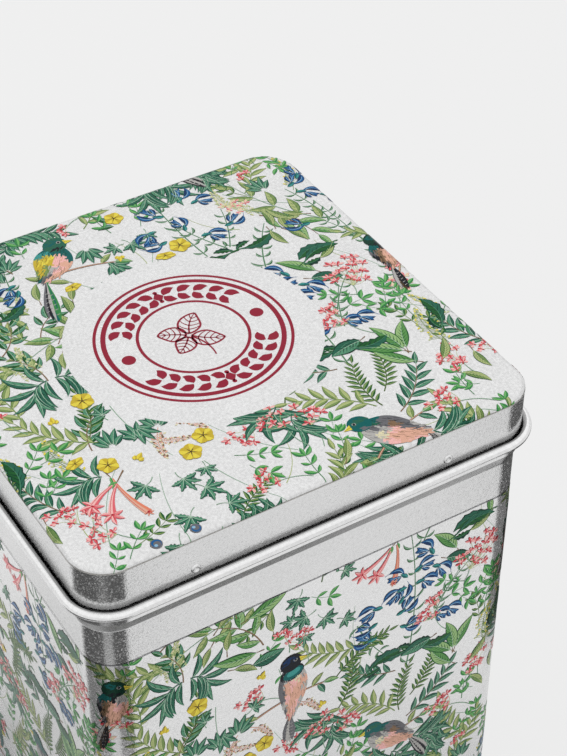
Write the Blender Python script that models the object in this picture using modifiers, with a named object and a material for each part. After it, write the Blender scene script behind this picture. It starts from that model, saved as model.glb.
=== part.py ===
"""Square tinplate tea caddy: a beaded can with a seamed base, a slip lid and an inner plug lid.

Built in metres with +Z up and the front on -Y. The dimensions below are in millimetres.
Every sheet is drawn as one line on one face of the metal. Walking along the line, the metal
lies on the left, and Solidify gives it its thickness.
"""

import math

import bmesh
import bpy
from mathutils import Matrix, Vector

MM = 0.001
SHEET = 0.28  # tinplate thickness
CORNER_CENTRE = 37.9  # every level loop of the can turns its corners about this square
CORNER_STEPS = 6
SMALLEST_CORNER = 4.0

# Can wall
WALL = 44.1
HOOK_FACE = 44.5
HOOK_TOP = 2.1
HOOK_BEND = 0.2
HOOK_TURN_Z = 0.85
FLARE_FOOT_Z = 119.6
STEP_FACE = 45.1
STEP_FOOT_Z = 122.05
STEP_TOP_Z = 123.62
STEP_FILLET = 0.45
BEAD_CENTRE = (46.0, 125.15)
BEAD_RADIUS = 0.86
GUTTER_Z = 125.05
GUTTER_RADIUS = 0.52
RIM_TURN_Z = 133.74
RIM_CURL = 0.6

# Side seam, folded inside the back wall
SEAM_WIDTH = 5.0
SEAM_DEPTH = 0.6
SEAM_FOOT_Z = 4.0
SEAM_TOP_Z = 118.0

# Base panel and its double seam
PANEL_Z = 2.88
PANEL_BEND = 0.58
CHUCK_FACE = 43.48
CHIME_FACE = 45.12
CHIME_FILLET = 0.22
CHIME_TURN_Z = 2.3
CHIME_TURN = 0.2
COVER_HOOK_FACE = 44.44
COVER_HOOK_END_Z = 1.2
BASE_STEP = (38.0, 37.2)
BASE_STEP_RISE = 0.5

# Outer lid
LID = 45.0
TOP_Z = 135.0
SHOULDER = 1.1
HEM_TURN = 0.34
LID_FOOT_Z = 125.7
HEM_TOP_Z = 128.2
NIB_SPACING = 50.6
NIB_Z = 127.6
NIB_PROFILE = ((0.95, 0.0), (0.8, 0.16), (0.6, 0.24), (0.42, 0.2), (0.25, 0.08), (0.0, 0.03))
NIB_ROOT = 0.12

# Inner lid
FLANGE_EDGE = 44.0
FLANGE_Z = 134.67
PLUG_FACE = 42.52
PLUG_SHOULDER = 0.6
PAN_Z = 127.8
PAN_FILLET = 0.4
PAN_STEP = (36.6, 35.8)
PAN_RISE = 0.7
KNOB_SEAT = 8.0
RIVET_HOLE = 1.56

# Knob and rivet
KNOB_FOOT_Z = 128.55
KNOB_TOP_Z = 134.2
KNOB_PROFILE = (
    (0.0, 0.0),
    (3.0, 0.1),
    (5.4, 0.4),
    (7.2, 0.95),
    (7.9, 1.6),
    (7.7, 2.2),
    (6.6, 2.6),
    (4.6, 2.9),
    (3.4, 3.5),
    (3.2, 4.2),
    (3.7, 4.9),
    (4.6, 5.3),
)
KNOB_BORE_TOP_Z = 132.4
SHANK = 1.5
SHANK_TOP_Z = 132.3
RIVET_HEAD_Z = 128.16
RIVET_HEAD = ((3.0, 0.0), (2.9, 0.35), (2.2, 0.65), (1.2, 0.8), (0.0, 0.85))
TURNED_STEPS = 28
NIB_STEPS = 16

TINPLATE = (0.62, 0.62, 0.61)
WHITE_COAT = (0.84, 0.83, 0.81)
ALUMINIUM = (0.75, 0.75, 0.76)


def clear():
    for thing in list(bpy.data.objects):
        bpy.data.objects.remove(thing)


def collection(name):
    made = bpy.data.collections.new(name)
    bpy.context.scene.collection.children.link(made)
    return made


def material(name, colour, roughness, metallic):
    made = bpy.data.materials.new(name)
    made.use_nodes = True
    shader = made.node_tree.nodes["Principled BSDF"]
    shader.inputs["Base Color"].default_value = (*colour, 1.0)
    shader.inputs["Roughness"].default_value = roughness
    shader.inputs["Metallic"].default_value = metallic
    return made


def arc(centre, radius, start, stop, steps):
    """Points of an arc in (half-width, height), angles in degrees from +half-width."""
    points = []
    for i in range(steps + 1):
        angle = math.radians(start + (stop - start) * i / steps)
        points.append((centre[0] + radius * math.cos(angle), centre[1] + radius * math.sin(angle)))
    return points


def level_loop(bm, half, z):
    """The corners of one level loop, counterclockwise: a square with rounded corners."""
    verts = []
    corner = max(half - CORNER_CENTRE, SMALLEST_CORNER)
    reach = half - corner
    for quarter in range(4):
        across = reach * math.sqrt(2)
        middle = math.radians(45 + 90 * quarter)
        for i in range(CORNER_STEPS + 1):
            angle = math.radians(90 * quarter + 90 * i / CORNER_STEPS)
            x = across * math.cos(middle) + corner * math.cos(angle)
            y = across * math.sin(middle) + corner * math.sin(angle)
            verts.append(bm.verts.new((x * MM, y * MM, z * MM)))
    return verts


def sheet(name, line, closed_middle):
    """A formed sheet: a loft through level loops, whose corners no sweep keeps concentric."""
    bm = bmesh.new()
    loops = [level_loop(bm, half, z) for half, z in line]
    for before, after in zip(loops, loops[1:]):
        for i in range(len(before)):
            bm.faces.new((before[i - 1], before[i], after[i], after[i - 1]))
    if closed_middle:
        bm.faces.new(loops[-1])
    made = finish(name, bm)
    solid = made.modifiers.new("thickness", "SOLIDIFY")
    solid.thickness = SHEET * MM
    solid.offset = -1
    solid.use_even_offset = True
    solid.use_quality_normals = True
    return made


def turned(name, profile, steps, placing=None):
    """A turned solid from (radius, height) points, spun about +Z and then placed."""
    bm = bmesh.new()
    verts = [bm.verts.new((r * MM, 0, z * MM)) for r, z in profile]
    edges = [bm.edges.new(pair) for pair in zip(verts, verts[1:])]
    bmesh.ops.spin(
        bm,
        geom=verts + edges,
        cent=(0, 0, 0),
        axis=(0, 0, 1),
        angle=2 * math.pi,
        steps=steps,
        use_merge=True,
    )
    bmesh.ops.remove_doubles(bm, verts=bm.verts, dist=MM * 1e-3)
    bmesh.ops.recalc_face_normals(bm, faces=bm.faces)
    if placing:
        bmesh.ops.transform(bm, matrix=placing, verts=bm.verts)
    return finish(name, bm)


def block(name, low, high):
    bm = bmesh.new()
    size = Vector(high) - Vector(low)
    middle = (Vector(high) + Vector(low)) / 2
    matrix = Matrix.Translation(middle * MM) @ Matrix.Diagonal((*(size * MM), 1))
    bmesh.ops.create_cube(bm, size=1, matrix=matrix)
    return finish(name, bm)


def finish(name, bm):
    mesh = bpy.data.meshes.new(name)
    bm.to_mesh(mesh)
    bm.free()
    for polygon in mesh.polygons:
        polygon.use_smooth = True
    return bpy.data.objects.new(name, mesh)


def keep(made, group, look):
    """Puts a piece in its collection. Every piece's origin is on the lift axis, X = Y = 0."""
    made.data.materials.append(look)
    group.objects.link(made)


def work(made, tool, group, operation):
    """Joins a tool's shape to a piece, or cuts it away."""
    tool.hide_render = True
    tool.display_type = "WIRE"
    group.objects.link(tool)
    step = made.modifiers.new(tool.name, "BOOLEAN")
    step.operation = operation
    step.solver = "EXACT"
    step.object = tool


def wall_line():
    """From the body hook inside the base seam, up the outside of the can, to the rim curl."""
    turn = (HOOK_FACE - HOOK_BEND, HOOK_TURN_Z)
    gutter = (WALL + GUTTER_RADIUS, GUTTER_Z)
    crease = (STEP_FACE + STEP_FILLET, STEP_TOP_Z)
    line = [(HOOK_FACE, HOOK_TOP)]
    line += arc(turn, HOOK_BEND, 0, -180, 4)
    line += [(WALL, FLARE_FOOT_Z), (STEP_FACE, STEP_FOOT_Z)]
    line += arc(crease, STEP_FILLET, 180, 90, 2)
    line += arc(BEAD_CENTRE, BEAD_RADIUS, -90, 180, 12)
    line += arc(gutter, GUTTER_RADIUS, 0, -180, 4)
    line += arc((WALL - RIM_CURL, RIM_TURN_Z), RIM_CURL, 0, 240, 8)
    return line


def base_line():
    """From the cover hook, over and down the base seam, up its inside, to the raised panel."""
    chime_face = CHIME_FACE - SHEET
    chuck_face = CHUCK_FACE + SHEET
    line = [(COVER_HOOK_FACE, COVER_HOOK_END_Z)]
    line += arc((chime_face - CHIME_TURN, CHIME_TURN_Z), CHIME_TURN, 180, 0, 4)
    line += arc((chime_face - CHIME_FILLET, SHEET + CHIME_FILLET), CHIME_FILLET, 0, -90, 2)
    line += arc((chuck_face + CHIME_FILLET, SHEET + CHIME_FILLET), CHIME_FILLET, 270, 180, 2)
    line += arc((chuck_face - PANEL_BEND, PANEL_Z - PANEL_BEND), PANEL_BEND, 0, 90, 3)
    line += [(BASE_STEP[0], PANEL_Z), (BASE_STEP[1], PANEL_Z + BASE_STEP_RISE)]
    return line


def lid_line():
    """From the end of the hem inside the skirt, round its foot and up, to the flat top."""
    hem = (LID - HEM_TURN, LID_FOOT_Z + HEM_TURN)
    line = [(LID - 2 * HEM_TURN, HEM_TOP_Z)]
    line += arc(hem, HEM_TURN, 180, 360, 4)
    line += arc((LID - SHOULDER, TOP_Z - SHOULDER), SHOULDER, 0, 90, 4)
    return line


def plug_line():
    """From the edge of the flange, down the plug wall, and in over the pan's raised step."""
    shoulder = (PLUG_FACE + PLUG_SHOULDER, FLANGE_Z - PLUG_SHOULDER)
    line = [(FLANGE_EDGE, FLANGE_Z)]
    line += arc(shoulder, PLUG_SHOULDER, 90, 180, 3)
    line += arc((PLUG_FACE - PAN_FILLET, PAN_Z + PAN_FILLET), PAN_FILLET, 0, -90, 2)
    floor = PAN_Z + PAN_RISE
    line += [(PAN_STEP[0], PAN_Z), (PAN_STEP[1], floor), (KNOB_SEAT, floor)]
    return line


def make_body(group, tools, bare, coated):
    wall = sheet("can_wall", wall_line(), closed_middle=False)
    inner = WALL - SHEET
    seam = block(
        "side_seam_fold",
        (-SEAM_WIDTH / 2, inner - SEAM_DEPTH, SEAM_FOOT_Z),
        (SEAM_WIDTH / 2, inner + SHEET / 2, SEAM_TOP_Z),
    )
    work(wall, seam, tools, "UNION")
    keep(wall, group, coated)
    keep(sheet("base_panel", base_line(), closed_middle=True), group, bare)


def nib(index, x, side):
    """One pressed nib: a low ring with a dent in it, standing out of the front or back skirt."""
    profile = [(0.0, -NIB_ROOT), (NIB_PROFILE[0][0], -NIB_ROOT), *NIB_PROFILE]
    facing = Matrix.Rotation(-side * math.pi / 2, 4, "X")
    place = Matrix.Translation(Vector((x, side * LID, NIB_Z)) * MM)
    return turned(f"nib_{index}", profile, NIB_STEPS, place @ facing)


def make_outer_lid(group, tools, coated):
    lid = sheet("outer_lid", lid_line(), closed_middle=True)
    places = [(x * NIB_SPACING / 2, side) for side in (-1, 1) for x in (-1, 1)]
    for index, (x, side) in enumerate(places):
        work(lid, nib(index, x, side), tools, "UNION")
    keep(lid, group, coated)


def make_inner_lid(group, tools, bare, aluminium):
    pan = sheet("inner_lid_pan", plug_line(), closed_middle=True)
    floor = PAN_Z + PAN_RISE
    drill = [(0, floor + 1), (RIVET_HOLE, floor + 1), (RIVET_HOLE, floor - 1), (0, floor - 1)]
    work(pan, turned("rivet_hole", drill, TURNED_STEPS), tools, "DIFFERENCE")
    keep(pan, group, bare)
    outside = [(r, KNOB_TOP_Z - drop) for r, drop in KNOB_PROFILE]
    bore = [(RIVET_HOLE, KNOB_FOOT_Z), (RIVET_HOLE, KNOB_BORE_TOP_Z), (0, KNOB_BORE_TOP_Z)]
    foot = [(KNOB_PROFILE[-1][0], KNOB_FOOT_Z)]
    keep(turned("inner_lid_knob", outside + foot + bore, TURNED_STEPS), group, aluminium)
    shank = [(0, SHANK_TOP_Z), (SHANK, SHANK_TOP_Z), (SHANK, RIVET_HEAD_Z)]
    head = [(r, RIVET_HEAD_Z - drop) for r, drop in RIVET_HEAD]
    keep(turned("knob_rivet", shank + head, TURNED_STEPS), group, bare)


def main():
    clear()
    group = collection("tea_caddy")
    tools = collection("cutters")
    bare = material("bare_tinplate", TINPLATE, 0.32, 1.0)
    coated = material("white_coated_tinplate", WHITE_COAT, 0.4, 0.0)
    aluminium = material("turned_aluminium", ALUMINIUM, 0.3, 1.0)
    make_body(group, tools, bare, coated)
    make_outer_lid(group, tools, coated)
    make_inner_lid(group, tools, bare, aluminium)


main()
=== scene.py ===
"""Looks of a square printed tinplate tea caddy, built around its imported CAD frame.

Lengths are in millimetres, but in metres for the camera's place and the studio. +Z is up and the
front faces -Y. Every level loop of the sheets is a square with rounded corners, turned about the
corners of one square.
A section line lies on one face of the metal: walking along it, the metal is on the left.
"""

import math

import bmesh
import bpy
import numpy as np
from mathutils import Matrix, Vector


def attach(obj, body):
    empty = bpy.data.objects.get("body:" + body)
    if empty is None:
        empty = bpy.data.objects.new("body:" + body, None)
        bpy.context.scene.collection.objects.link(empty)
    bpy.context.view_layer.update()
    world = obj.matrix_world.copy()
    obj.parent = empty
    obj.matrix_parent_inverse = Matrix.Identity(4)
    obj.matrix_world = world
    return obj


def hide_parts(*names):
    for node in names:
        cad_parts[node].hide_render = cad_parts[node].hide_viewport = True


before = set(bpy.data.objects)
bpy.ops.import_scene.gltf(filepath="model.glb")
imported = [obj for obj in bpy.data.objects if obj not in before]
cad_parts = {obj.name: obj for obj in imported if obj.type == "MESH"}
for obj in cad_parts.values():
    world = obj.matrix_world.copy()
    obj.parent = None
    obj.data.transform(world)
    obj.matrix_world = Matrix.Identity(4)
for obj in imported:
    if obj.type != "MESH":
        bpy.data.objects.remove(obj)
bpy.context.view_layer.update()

MM = 0.001

# Sheets
SHEET = 0.28
CORNER_CENTRE = 37.9
CORNER_STEPS = 24
SMALLEST_CORNER = 4.0
SUPPORT = 0.4  # a loop this close to each end of a flat keeps its shading flat
LINE_SUPPORT = 0.12
SAME_POINT = 0.001
SHARP_ANGLE = math.radians(17)

# Can wall
WALL = 44.1
HOOK_FACE = 44.5
HOOK_TOP = 2.1
HOOK_BEND = 0.2
HOOK_TURN_Z = 0.85
COAT_TOP_Z = 111.4
FLARE_FOOT_Z = 119.6
FLARE_FILLET = 1.6
STEP_FACE = 45.1
STEP_FOOT_Z = 122.05
STEP_TOP_Z = 123.62
STEP_FILLET = 0.45
BEAD_CENTRE = (46.0, 125.15)
BEAD_RADIUS = 0.86
GUTTER_Z = 125.05
GUTTER_RADIUS = 0.52
GUTTER_FLOOR_Z = 124.4
GUTTER_TOP_Z = 125.1
# out to this half-width the bead's inner flank gets a darker tin: painted shade
BEAD_SHADE_EDGE = 45.94
# the bead's underside is painted near black up to this height: painted shadow
BEAD_SHADOW_TOP_Z = 124.8
RIM_TURN_Z = 133.74
RIM_CURL = 0.6
SEAM_WIDTH = 5.0
SEAM_DEPTH = 0.6
SEAM_BEVEL = 0.18
SEAM_FOOT_Z = 4.0
SEAM_TOP_Z = 118.0

# Base panel and its double seam
PANEL_Z = 2.88
PANEL_BEND = 0.58
CHUCK_FACE = 43.48
CHIME_FACE = 45.12
CHIME_FILLET = 0.22
CHIME_TURN_Z = 2.3
CHIME_TURN = 0.2
COVER_HOOK_FACE = 44.44
COVER_HOOK_END_Z = 1.2
BASE_STEP = (38.0, 37.2)
BASE_STEP_RISE = 0.5

# Outer lid
LID = 45.0
TOP_Z = 134.9  # the sheet stops short of the lid's full height by the depth of its print
SHOULDER = 1.1
HEM_TURN = 0.34
LID_FOOT_Z = 125.4
HEM_TOP_Z = 128.2
LID_COAT_FOOT_Z = 133.75
NIB_SPACING = 50.6
NIB_Z = 127.6
NIB_PROFILE = ((0.95, 0.0), (0.9, 0.1), (0.8, 0.22), (0.64, 0.28), (0.5, 0.24), (0.38, 0.12),
               (0.22, 0.03), (0.0, 0.0))
NIB_ROOT = 0.12

# Inner lid
FLANGE_EDGE = 44.0
FLANGE_Z = 134.67
PLUG_FACE = 42.52
PLUG_SHOULDER = 0.6
PAN_Z = 127.8
PAN_FILLET = 0.4
PAN_STEP = (36.6, 35.8)
PAN_RISE = 0.7
RIVET_HOLE = 1.56
KNOB_FOOT_Z = 128.55
KNOB_TOP_Z = 134.2
KNOB_PROFILE = (
    (0.0, 0.0), (3.0, 0.1), (5.4, 0.4), (7.2, 0.95), (7.9, 1.6), (7.7, 2.2),
    (6.6, 2.6), (4.6, 2.9), (3.4, 3.5), (3.2, 4.2), (3.7, 4.9), (4.6, 5.3),
)
KNOB_BORE_TOP_Z = 132.4

# Camera, its angles in radians
CAMERA_M = (-0.1295, -0.2413, 0.3565)
CAMERA_TURN = -0.5524
CAMERA_RISE = 0.7029
CAMERA_ROLL = 0.0017
LENS_MM = 92.0
SENSOR_MM = 36
CLIP_START_M = 0.01

# Studio, its lengths in metres
BACKDROP = 0.873
SKY = 1.05
STUDIO_REACH = 4.0
STUDIO_BEND = 0.6
STUDIO_HEIGHT = 1.8
# Cards level with the floor: gauze, corner to fan from, compass angles, reach, height
CARDS = {
    "flag_near": ("flag_gauze", (-0.038, -0.038), (-72, -219.5), (0.07, 1.5), 0.0005),
    "flag_right": ("flag_gauze", (0.038, -0.038), (-44.6, 98), (0.07, 1.5), 0.0005),
    "strip_near": ("strip_gauze", (-0.038, -0.038), (-146, -117), (0.07, 0.116), 0.001),
}
FAN_STEPS = 24
GAUZE_LEVELS = {"flag_gauze": 0.088, "strip_gauze": 0.53}
GAUZE_FADE = (0.4, 0.52)  # where between facing and edge-on a gauze goes clear
PAINT_GLOW = 0.85
PAINT = 0.75
LAMP_AIM = (0, 0, 0.07)
# The can's shade on the floor, in millimetres: its height, and out from the foot the share of light
SHADE_Z = 0.25
SHADE_TONES = ((0, 0.05), (8, 0.36), (16, 0.6), (26, 0.72), (36, 0.8), (46, 0.87), (56, 0.93),
               (66, 0.97), (76, 1.0))

# Tin
SPECK_TONES = (0.84, 1.1, 0.9, 1.16)
SOFT_TONES = (0.91, 1.05, 0.95, 1.09)
TIN_ROUGHNESS = (0.17, 0.54)
VARNISH_ROUGHNESS = (0.18, 0.5)
BEAD_ROUGHNESS = (0.18, 0.36)
GRAIN_EDGE = (0.52, 0.74)
# Metallic share, shade, roughness of gloss and of grain, depth of the grain, tones of the specks
TINS = {
    "varnished_lid_tinplate": (0.6, 0.7, VARNISH_ROUGHNESS, 0.02, SPECK_TONES),
    "varnished_wall_tinplate": (0.9, 0.81, VARNISH_ROUGHNESS, 0.02, SOFT_TONES),
    "tinplate": (1.0, 0.74, TIN_ROUGHNESS, 0.03, SOFT_TONES),
    # a brighter copy of the tin with a smoother gloss: painted highlight on the bead and the step
    "highlit_tinplate": (1.0, 0.82, BEAD_ROUGHNESS, 0.01, SOFT_TONES),
    # a darker copy of the tin: painted shade on the bead's inner flank and the cone below the step
    "half_shaded_tinplate": (1.0, 0.38, TIN_ROUGHNESS, 0.03, SOFT_TONES),
    # a near black copy of the tin: painted shadow in the gutter and under the bead
    "shadowed_tinplate": (1.0, 0.05, TIN_ROUGHNESS, 0.03, SOFT_TONES),
}

# Print
INK_METALLIC = 0.75
INK_ROUGHNESS = 0.25
INK_GLOSS = 0.12
INK_STRENGTH = 0.95
CLEARING = 23.9  # radius of the plain disc round the emblem
WALL_PRINT_LIFT = 97.7  # height of the artwork's level zero on the walls
WALL_PRINT_FOOT_Z = 3.0
PRINT_LINE = 0.16
PRINT_LINE_POINTS = 241
PRINT_LINE_LEVEL = 3.7  # above every level of the artwork
EMBLEM_RINGS = ((18.1, 0.6), (16.5, 0.95), (10.25, 0.6))
EMBLEM_BAND = 13.35
EMBLEM_DOT = 1.3
EMBLEM_LINE, EMBLEM_RIB, EMBLEM_VEIN = 0.42, 0.38, 0.25
# Turn, length, width and lean of each leaf
EMBLEM_LEAVES = ((52, 6.6, 4.2, 0.08), (152, 5.8, 4.0, -0.06), (222, 5.4, 3.8, 0.06),
                 (-34, 6.6, 4.2, -0.08))
WREATH_PAIRS = 5
WREATH_STEP = 12.4


# --- Node helpers -------------------------------------------------------------------------------

def new_material(name):
    made = bpy.data.materials.new(name)
    made.use_nodes = True
    return made, made.node_tree, made.node_tree.nodes["Principled BSDF"]


def add_node(tree, kind, inputs=(), **options):
    """A new shader node. Each input is a plain value, or another node's output to link."""
    made = tree.nodes.new("ShaderNode" + kind)
    for option, value in options.items():
        setattr(made, option, value)
    for name, value in dict(inputs).items():
        if isinstance(value, bpy.types.NodeSocket):
            tree.links.new(value, made.inputs[name])
        else:
            made.inputs[name].default_value = value
    return made


def noise(tree, size, detail=2.0, rough=0.5, seed=0.0):
    """Noise with lumps of the given size in millimetres, fixed to the object."""
    place = add_node(tree, "TexCoord").outputs["Object"]
    inputs = {"Vector": place, "W": seed, "Scale": 1 / (size * MM), "Detail": detail,
              "Roughness": rough}
    return add_node(tree, "TexNoise", inputs, noise_dimensions="4D").outputs["Fac"]


def span(tree, value, low, high, start=0.25, stop=0.75):
    """Maps a value from start to stop onto low to high."""
    inputs = {"From Min": start, "From Max": stop, "To Min": low, "To Max": high, "Value": value}
    return add_node(tree, "MapRange", inputs).outputs["Result"]


def blend(tree, share, first, second):
    """Mixes two colours or two outputs."""
    inputs = {"A": first, "B": second, "Factor": share}
    return add_node(tree, "Mix", inputs, data_type="RGBA").outputs["Result"]


def bump(tree, height, depth):
    """Bump whose full height is depth millimetres."""
    return add_node(tree, "Bump", {"Distance": depth * MM, "Height": height}).outputs["Normal"]


def speckled(name, metallic, shade, roughness, depth, tones):
    """Tin with a stone grain: glossy, with fine dull grains, specks of tone and a faint cloud."""
    made, tree, shader = new_material(name)
    speck = span(tree, noise(tree, 0.5, detail=1.0), 0, 1)
    gloss = noise(tree, 0.3, detail=1.5, rough=0.6, seed=4.0)
    cloud = span(tree, noise(tree, 12.0, detail=3.0), 0, 1)
    greys = [(shade * tone, shade * tone, shade * tone, 1) for tone in tones]
    colour = blend(tree, cloud, blend(tree, speck, *greys[:2]), blend(tree, speck, *greys[2:]))
    tree.links.new(colour, shader.inputs["Base Color"])
    tree.links.new(span(tree, gloss, *roughness, *GRAIN_EDGE), shader.inputs["Roughness"])
    tree.links.new(bump(tree, gloss, depth), shader.inputs["Normal"])
    shader.inputs["Metallic"].default_value = metallic
    return made


def turned_metal(name):
    """Aluminium with the fine rings of turning round the Z axis."""
    made, tree, shader = new_material(name)
    place = add_node(tree, "TexCoord").outputs["Object"]
    inputs = {"Vector": place, "Scale": 900, "Distortion": 0.6, "Detail": 2.0}
    rings = add_node(tree, "TexWave", inputs, wave_type="RINGS", rings_direction="Z")
    cloud = noise(tree, 3.0, detail=3.0)
    colour = blend(tree, span(tree, cloud, 0, 1), (0.72, 0.72, 0.73, 1), (0.8, 0.8, 0.81, 1))
    tree.links.new(colour, shader.inputs["Base Color"])
    tree.links.new(span(tree, cloud, 0.2, 0.32), shader.inputs["Roughness"])
    tree.links.new(bump(tree, rings.outputs["Fac"], 0.012), shader.inputs["Normal"])
    shader.inputs["Metallic"].default_value = 1.0
    return made


# --- Sheet shapes -------------------------------------------------------------------------------

def arc(centre, radius, start, stop, steps):
    """Points of an arc in (half-width, height), angles in degrees from +half-width."""
    points = []
    for i in range(steps + 1):
        angle = math.radians(start + (stop - start) * i / steps)
        points.append((centre[0] + radius * math.cos(angle), centre[1] + radius * math.sin(angle)))
    return points


def supported(line):
    """The line without repeats, with a point close to each end of every long straight stretch."""
    points = [line[0]]
    for after in line[1:]:
        before = points[-1]
        step = np.subtract(after, before)
        length = np.hypot(*step)
        if length < SAME_POINT:
            continue
        if length > 4 * LINE_SUPPORT:
            inset = step * LINE_SUPPORT / length
            points += [tuple(np.add(before, inset)), tuple(np.subtract(after, inset))]
        points.append(after)
    return points


def other_face(line):
    """The line of the sheet's other face, one thickness to the left, with mitred bends."""
    points = np.array(line)
    steps = np.diff(points, axis=0)
    steps /= np.linalg.norm(steps, axis=1)[:, None]
    left = np.stack([-steps[:, 1], steps[:, 0]], axis=1)
    before = np.vstack([left[:1], left])
    after = np.vstack([left, left[-1:]])
    middle = before + after
    middle /= np.linalg.norm(middle, axis=1)[:, None]
    stretch = 1 / (middle * before).sum(axis=1)
    return [tuple(p) for p in points + middle * (SHEET * stretch)[:, None]]


def level_loop(half, z):
    """A level loop, counterclockwise from the +X side, with a support point beside each corner."""
    corner = max(half - CORNER_CENTRE, SMALLEST_CORNER)
    reach = half - corner
    turn = np.radians(np.linspace(0, 90, CORNER_STEPS + 1))
    x = np.concatenate([[half], reach + corner * np.cos(turn), [reach - SUPPORT]])
    y = np.concatenate([[reach - SUPPORT], reach + corner * np.sin(turn), [half]])
    quarters = [(x, y), (-y, x), (-x, -y), (y, -x)]
    return np.concatenate([np.stack([qx, qy, np.full(len(qx), z)], axis=1) for qx, qy in quarters])


def skin(bm, loops, looks):
    """Joins each loop to the next with faces of the look of the stretch between them."""
    rows = [[bm.verts.new(tuple(point * MM)) for point in loop] for loop in loops]
    for index, (before, after) in enumerate(zip(rows, rows[1:] + rows[:1])):
        look = looks[index] if index < len(looks) else None
        if look is None:
            continue
        for i in range(len(before)):
            face = bm.faces.new((before[i - 1], before[i], after[i], after[i - 1]))
            face.material_index = look
    return rows


def linked(name, data):
    made = bpy.data.objects.new(name, data)
    bpy.context.scene.collection.objects.link(made)
    return made


def object_of(name, bm, materials, smooth=True):
    mesh = bpy.data.meshes.new(name)
    bm.to_mesh(mesh)
    bm.free()
    if smooth:
        mesh.shade_smooth()
        mesh.set_sharp_from_angle(angle=SHARP_ANGLE)
    for material in materials:
        mesh.materials.append(material)
    return linked(name, mesh)


def sheet(name, line, materials, look_of, middle="open"):
    """A formed sheet with both faces. look_of(half, z, outer) picks each stretch's material."""
    outer = supported(line)
    inner = other_face(outer)[::-1]
    section = outer + inner
    looks = []
    for index, (before, after) in enumerate(zip(section, section[1:] + section[:1])):
        half, z = np.add(before, after) / 2
        looks.append(look_of(half, z, index < len(outer) - 1))
    if middle != "open":
        looks[len(outer) - 1] = None
    bm = bmesh.new()
    loops = [level_loop(*point) for point in section]
    rows = skin(bm, loops, looks)
    last, first = rows[len(outer) - 1], rows[len(outer)]
    if middle == "closed":
        bm.faces.new(last).material_index = looks[len(outer) - 2]
        bm.faces.new(first[::-1]).material_index = looks[len(outer)]
    return object_of(name, bm, materials)


def spun(bm, profile, steps, unit):
    """Spins a line of (radius, height) points about +Z."""
    verts = [bm.verts.new((r * unit, 0, z * unit)) for r, z in profile]
    edges = [bm.edges.new(pair) for pair in zip(verts, verts[1:])]
    bmesh.ops.spin(bm, geom=verts + edges, cent=(0, 0, 0), axis=(0, 0, 1), angle=2 * math.pi,
                   steps=steps, use_merge=True)
    bmesh.ops.remove_doubles(bm, verts=bm.verts, dist=SAME_POINT * MM)


def turned(bm, profile, steps, placing=None):
    """Adds a turned solid to bm from (radius, height) points, spun about +Z and then placed."""
    made = bmesh.new()
    spun(made, profile, steps, MM)
    bmesh.ops.recalc_face_normals(made, faces=made.faces)
    if placing:
        bmesh.ops.transform(made, matrix=placing, verts=made.verts)
    scratch = bpy.data.meshes.new("scratch")
    made.to_mesh(scratch)
    made.free()
    bm.from_mesh(scratch)
    bpy.data.meshes.remove(scratch)


# --- The caddy's sheets -------------------------------------------------------------------------

# Looks of the can's faces: print ground, bare tin, a painted highlight, painted shade and painted
# shadow
COATED, BARE, PAINTED_HIGHLIGHT, PAINTED_SHADE, PAINTED_SHADOW = range(5)


def wall_line():
    turn = (HOOK_FACE - HOOK_BEND, HOOK_TURN_Z)
    line = [(HOOK_FACE, HOOK_TOP)]
    line += arc(turn, HOOK_BEND, 0, -180, 10)
    line += [(WALL, COAT_TOP_Z)]
    flare = math.degrees(math.atan2(STEP_FACE - WALL, STEP_FOOT_Z - FLARE_FOOT_Z))
    drop = FLARE_FILLET * math.tan(math.radians(flare / 2))
    line += arc((WALL + FLARE_FILLET, FLARE_FOOT_Z - drop), FLARE_FILLET, 180, 180 - flare, 6)
    line += [(STEP_FACE, STEP_FOOT_Z)]
    line += arc((STEP_FACE + STEP_FILLET, STEP_TOP_Z), STEP_FILLET, 180, 90, 7)
    line += arc(BEAD_CENTRE, BEAD_RADIUS, -90, 180, 28)
    line += arc((WALL + GUTTER_RADIUS, GUTTER_Z), GUTTER_RADIUS, 0, -180, 14)
    line += arc((WALL - RIM_CURL, RIM_TURN_Z), RIM_CURL, 0, 240, 24)
    return line


def base_line():
    chime_face = CHIME_FACE - SHEET
    chuck_face = CHUCK_FACE + SHEET
    fillet_z = SHEET + CHIME_FILLET
    line = [(COVER_HOOK_FACE, COVER_HOOK_END_Z)]
    line += arc((chime_face - CHIME_TURN, CHIME_TURN_Z), CHIME_TURN, 180, 0, 12)
    line += arc((chime_face - CHIME_FILLET, fillet_z), CHIME_FILLET, 0, -90, 6)
    line += arc((chuck_face + CHIME_FILLET, fillet_z), CHIME_FILLET, 270, 180, 6)
    line += arc((chuck_face - PANEL_BEND, PANEL_Z - PANEL_BEND), PANEL_BEND, 0, 90, 9)
    line += [(BASE_STEP[0], PANEL_Z), (BASE_STEP[1], PANEL_Z + BASE_STEP_RISE)]
    line += [(BASE_STEP[1] - 1, PANEL_Z + BASE_STEP_RISE)]
    return line


def lid_line():
    line = [(LID - 2 * HEM_TURN, HEM_TOP_Z)]
    line += arc((LID - HEM_TURN, LID_FOOT_Z + HEM_TURN), HEM_TURN, 180, 360, 14)
    line += arc((LID - SHOULDER, TOP_Z - SHOULDER), SHOULDER, 0, 90, 12)
    line += [(LID - SHOULDER - 1, TOP_Z)]
    return line


def plug_line():
    shoulder = (PLUG_FACE + PLUG_SHOULDER, FLANGE_Z - PLUG_SHOULDER)
    line = [(FLANGE_EDGE, FLANGE_Z)]
    line += arc(shoulder, PLUG_SHOULDER, 90, 180, 9)
    line += arc((PLUG_FACE - PAN_FILLET, PAN_Z + PAN_FILLET), PAN_FILLET, 0, -90, 7)
    floor = PAN_Z + PAN_RISE
    line += [(PAN_STEP[0], PAN_Z), (PAN_STEP[1], floor), (PAN_STEP[1] - 1, floor)]
    return line


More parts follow.
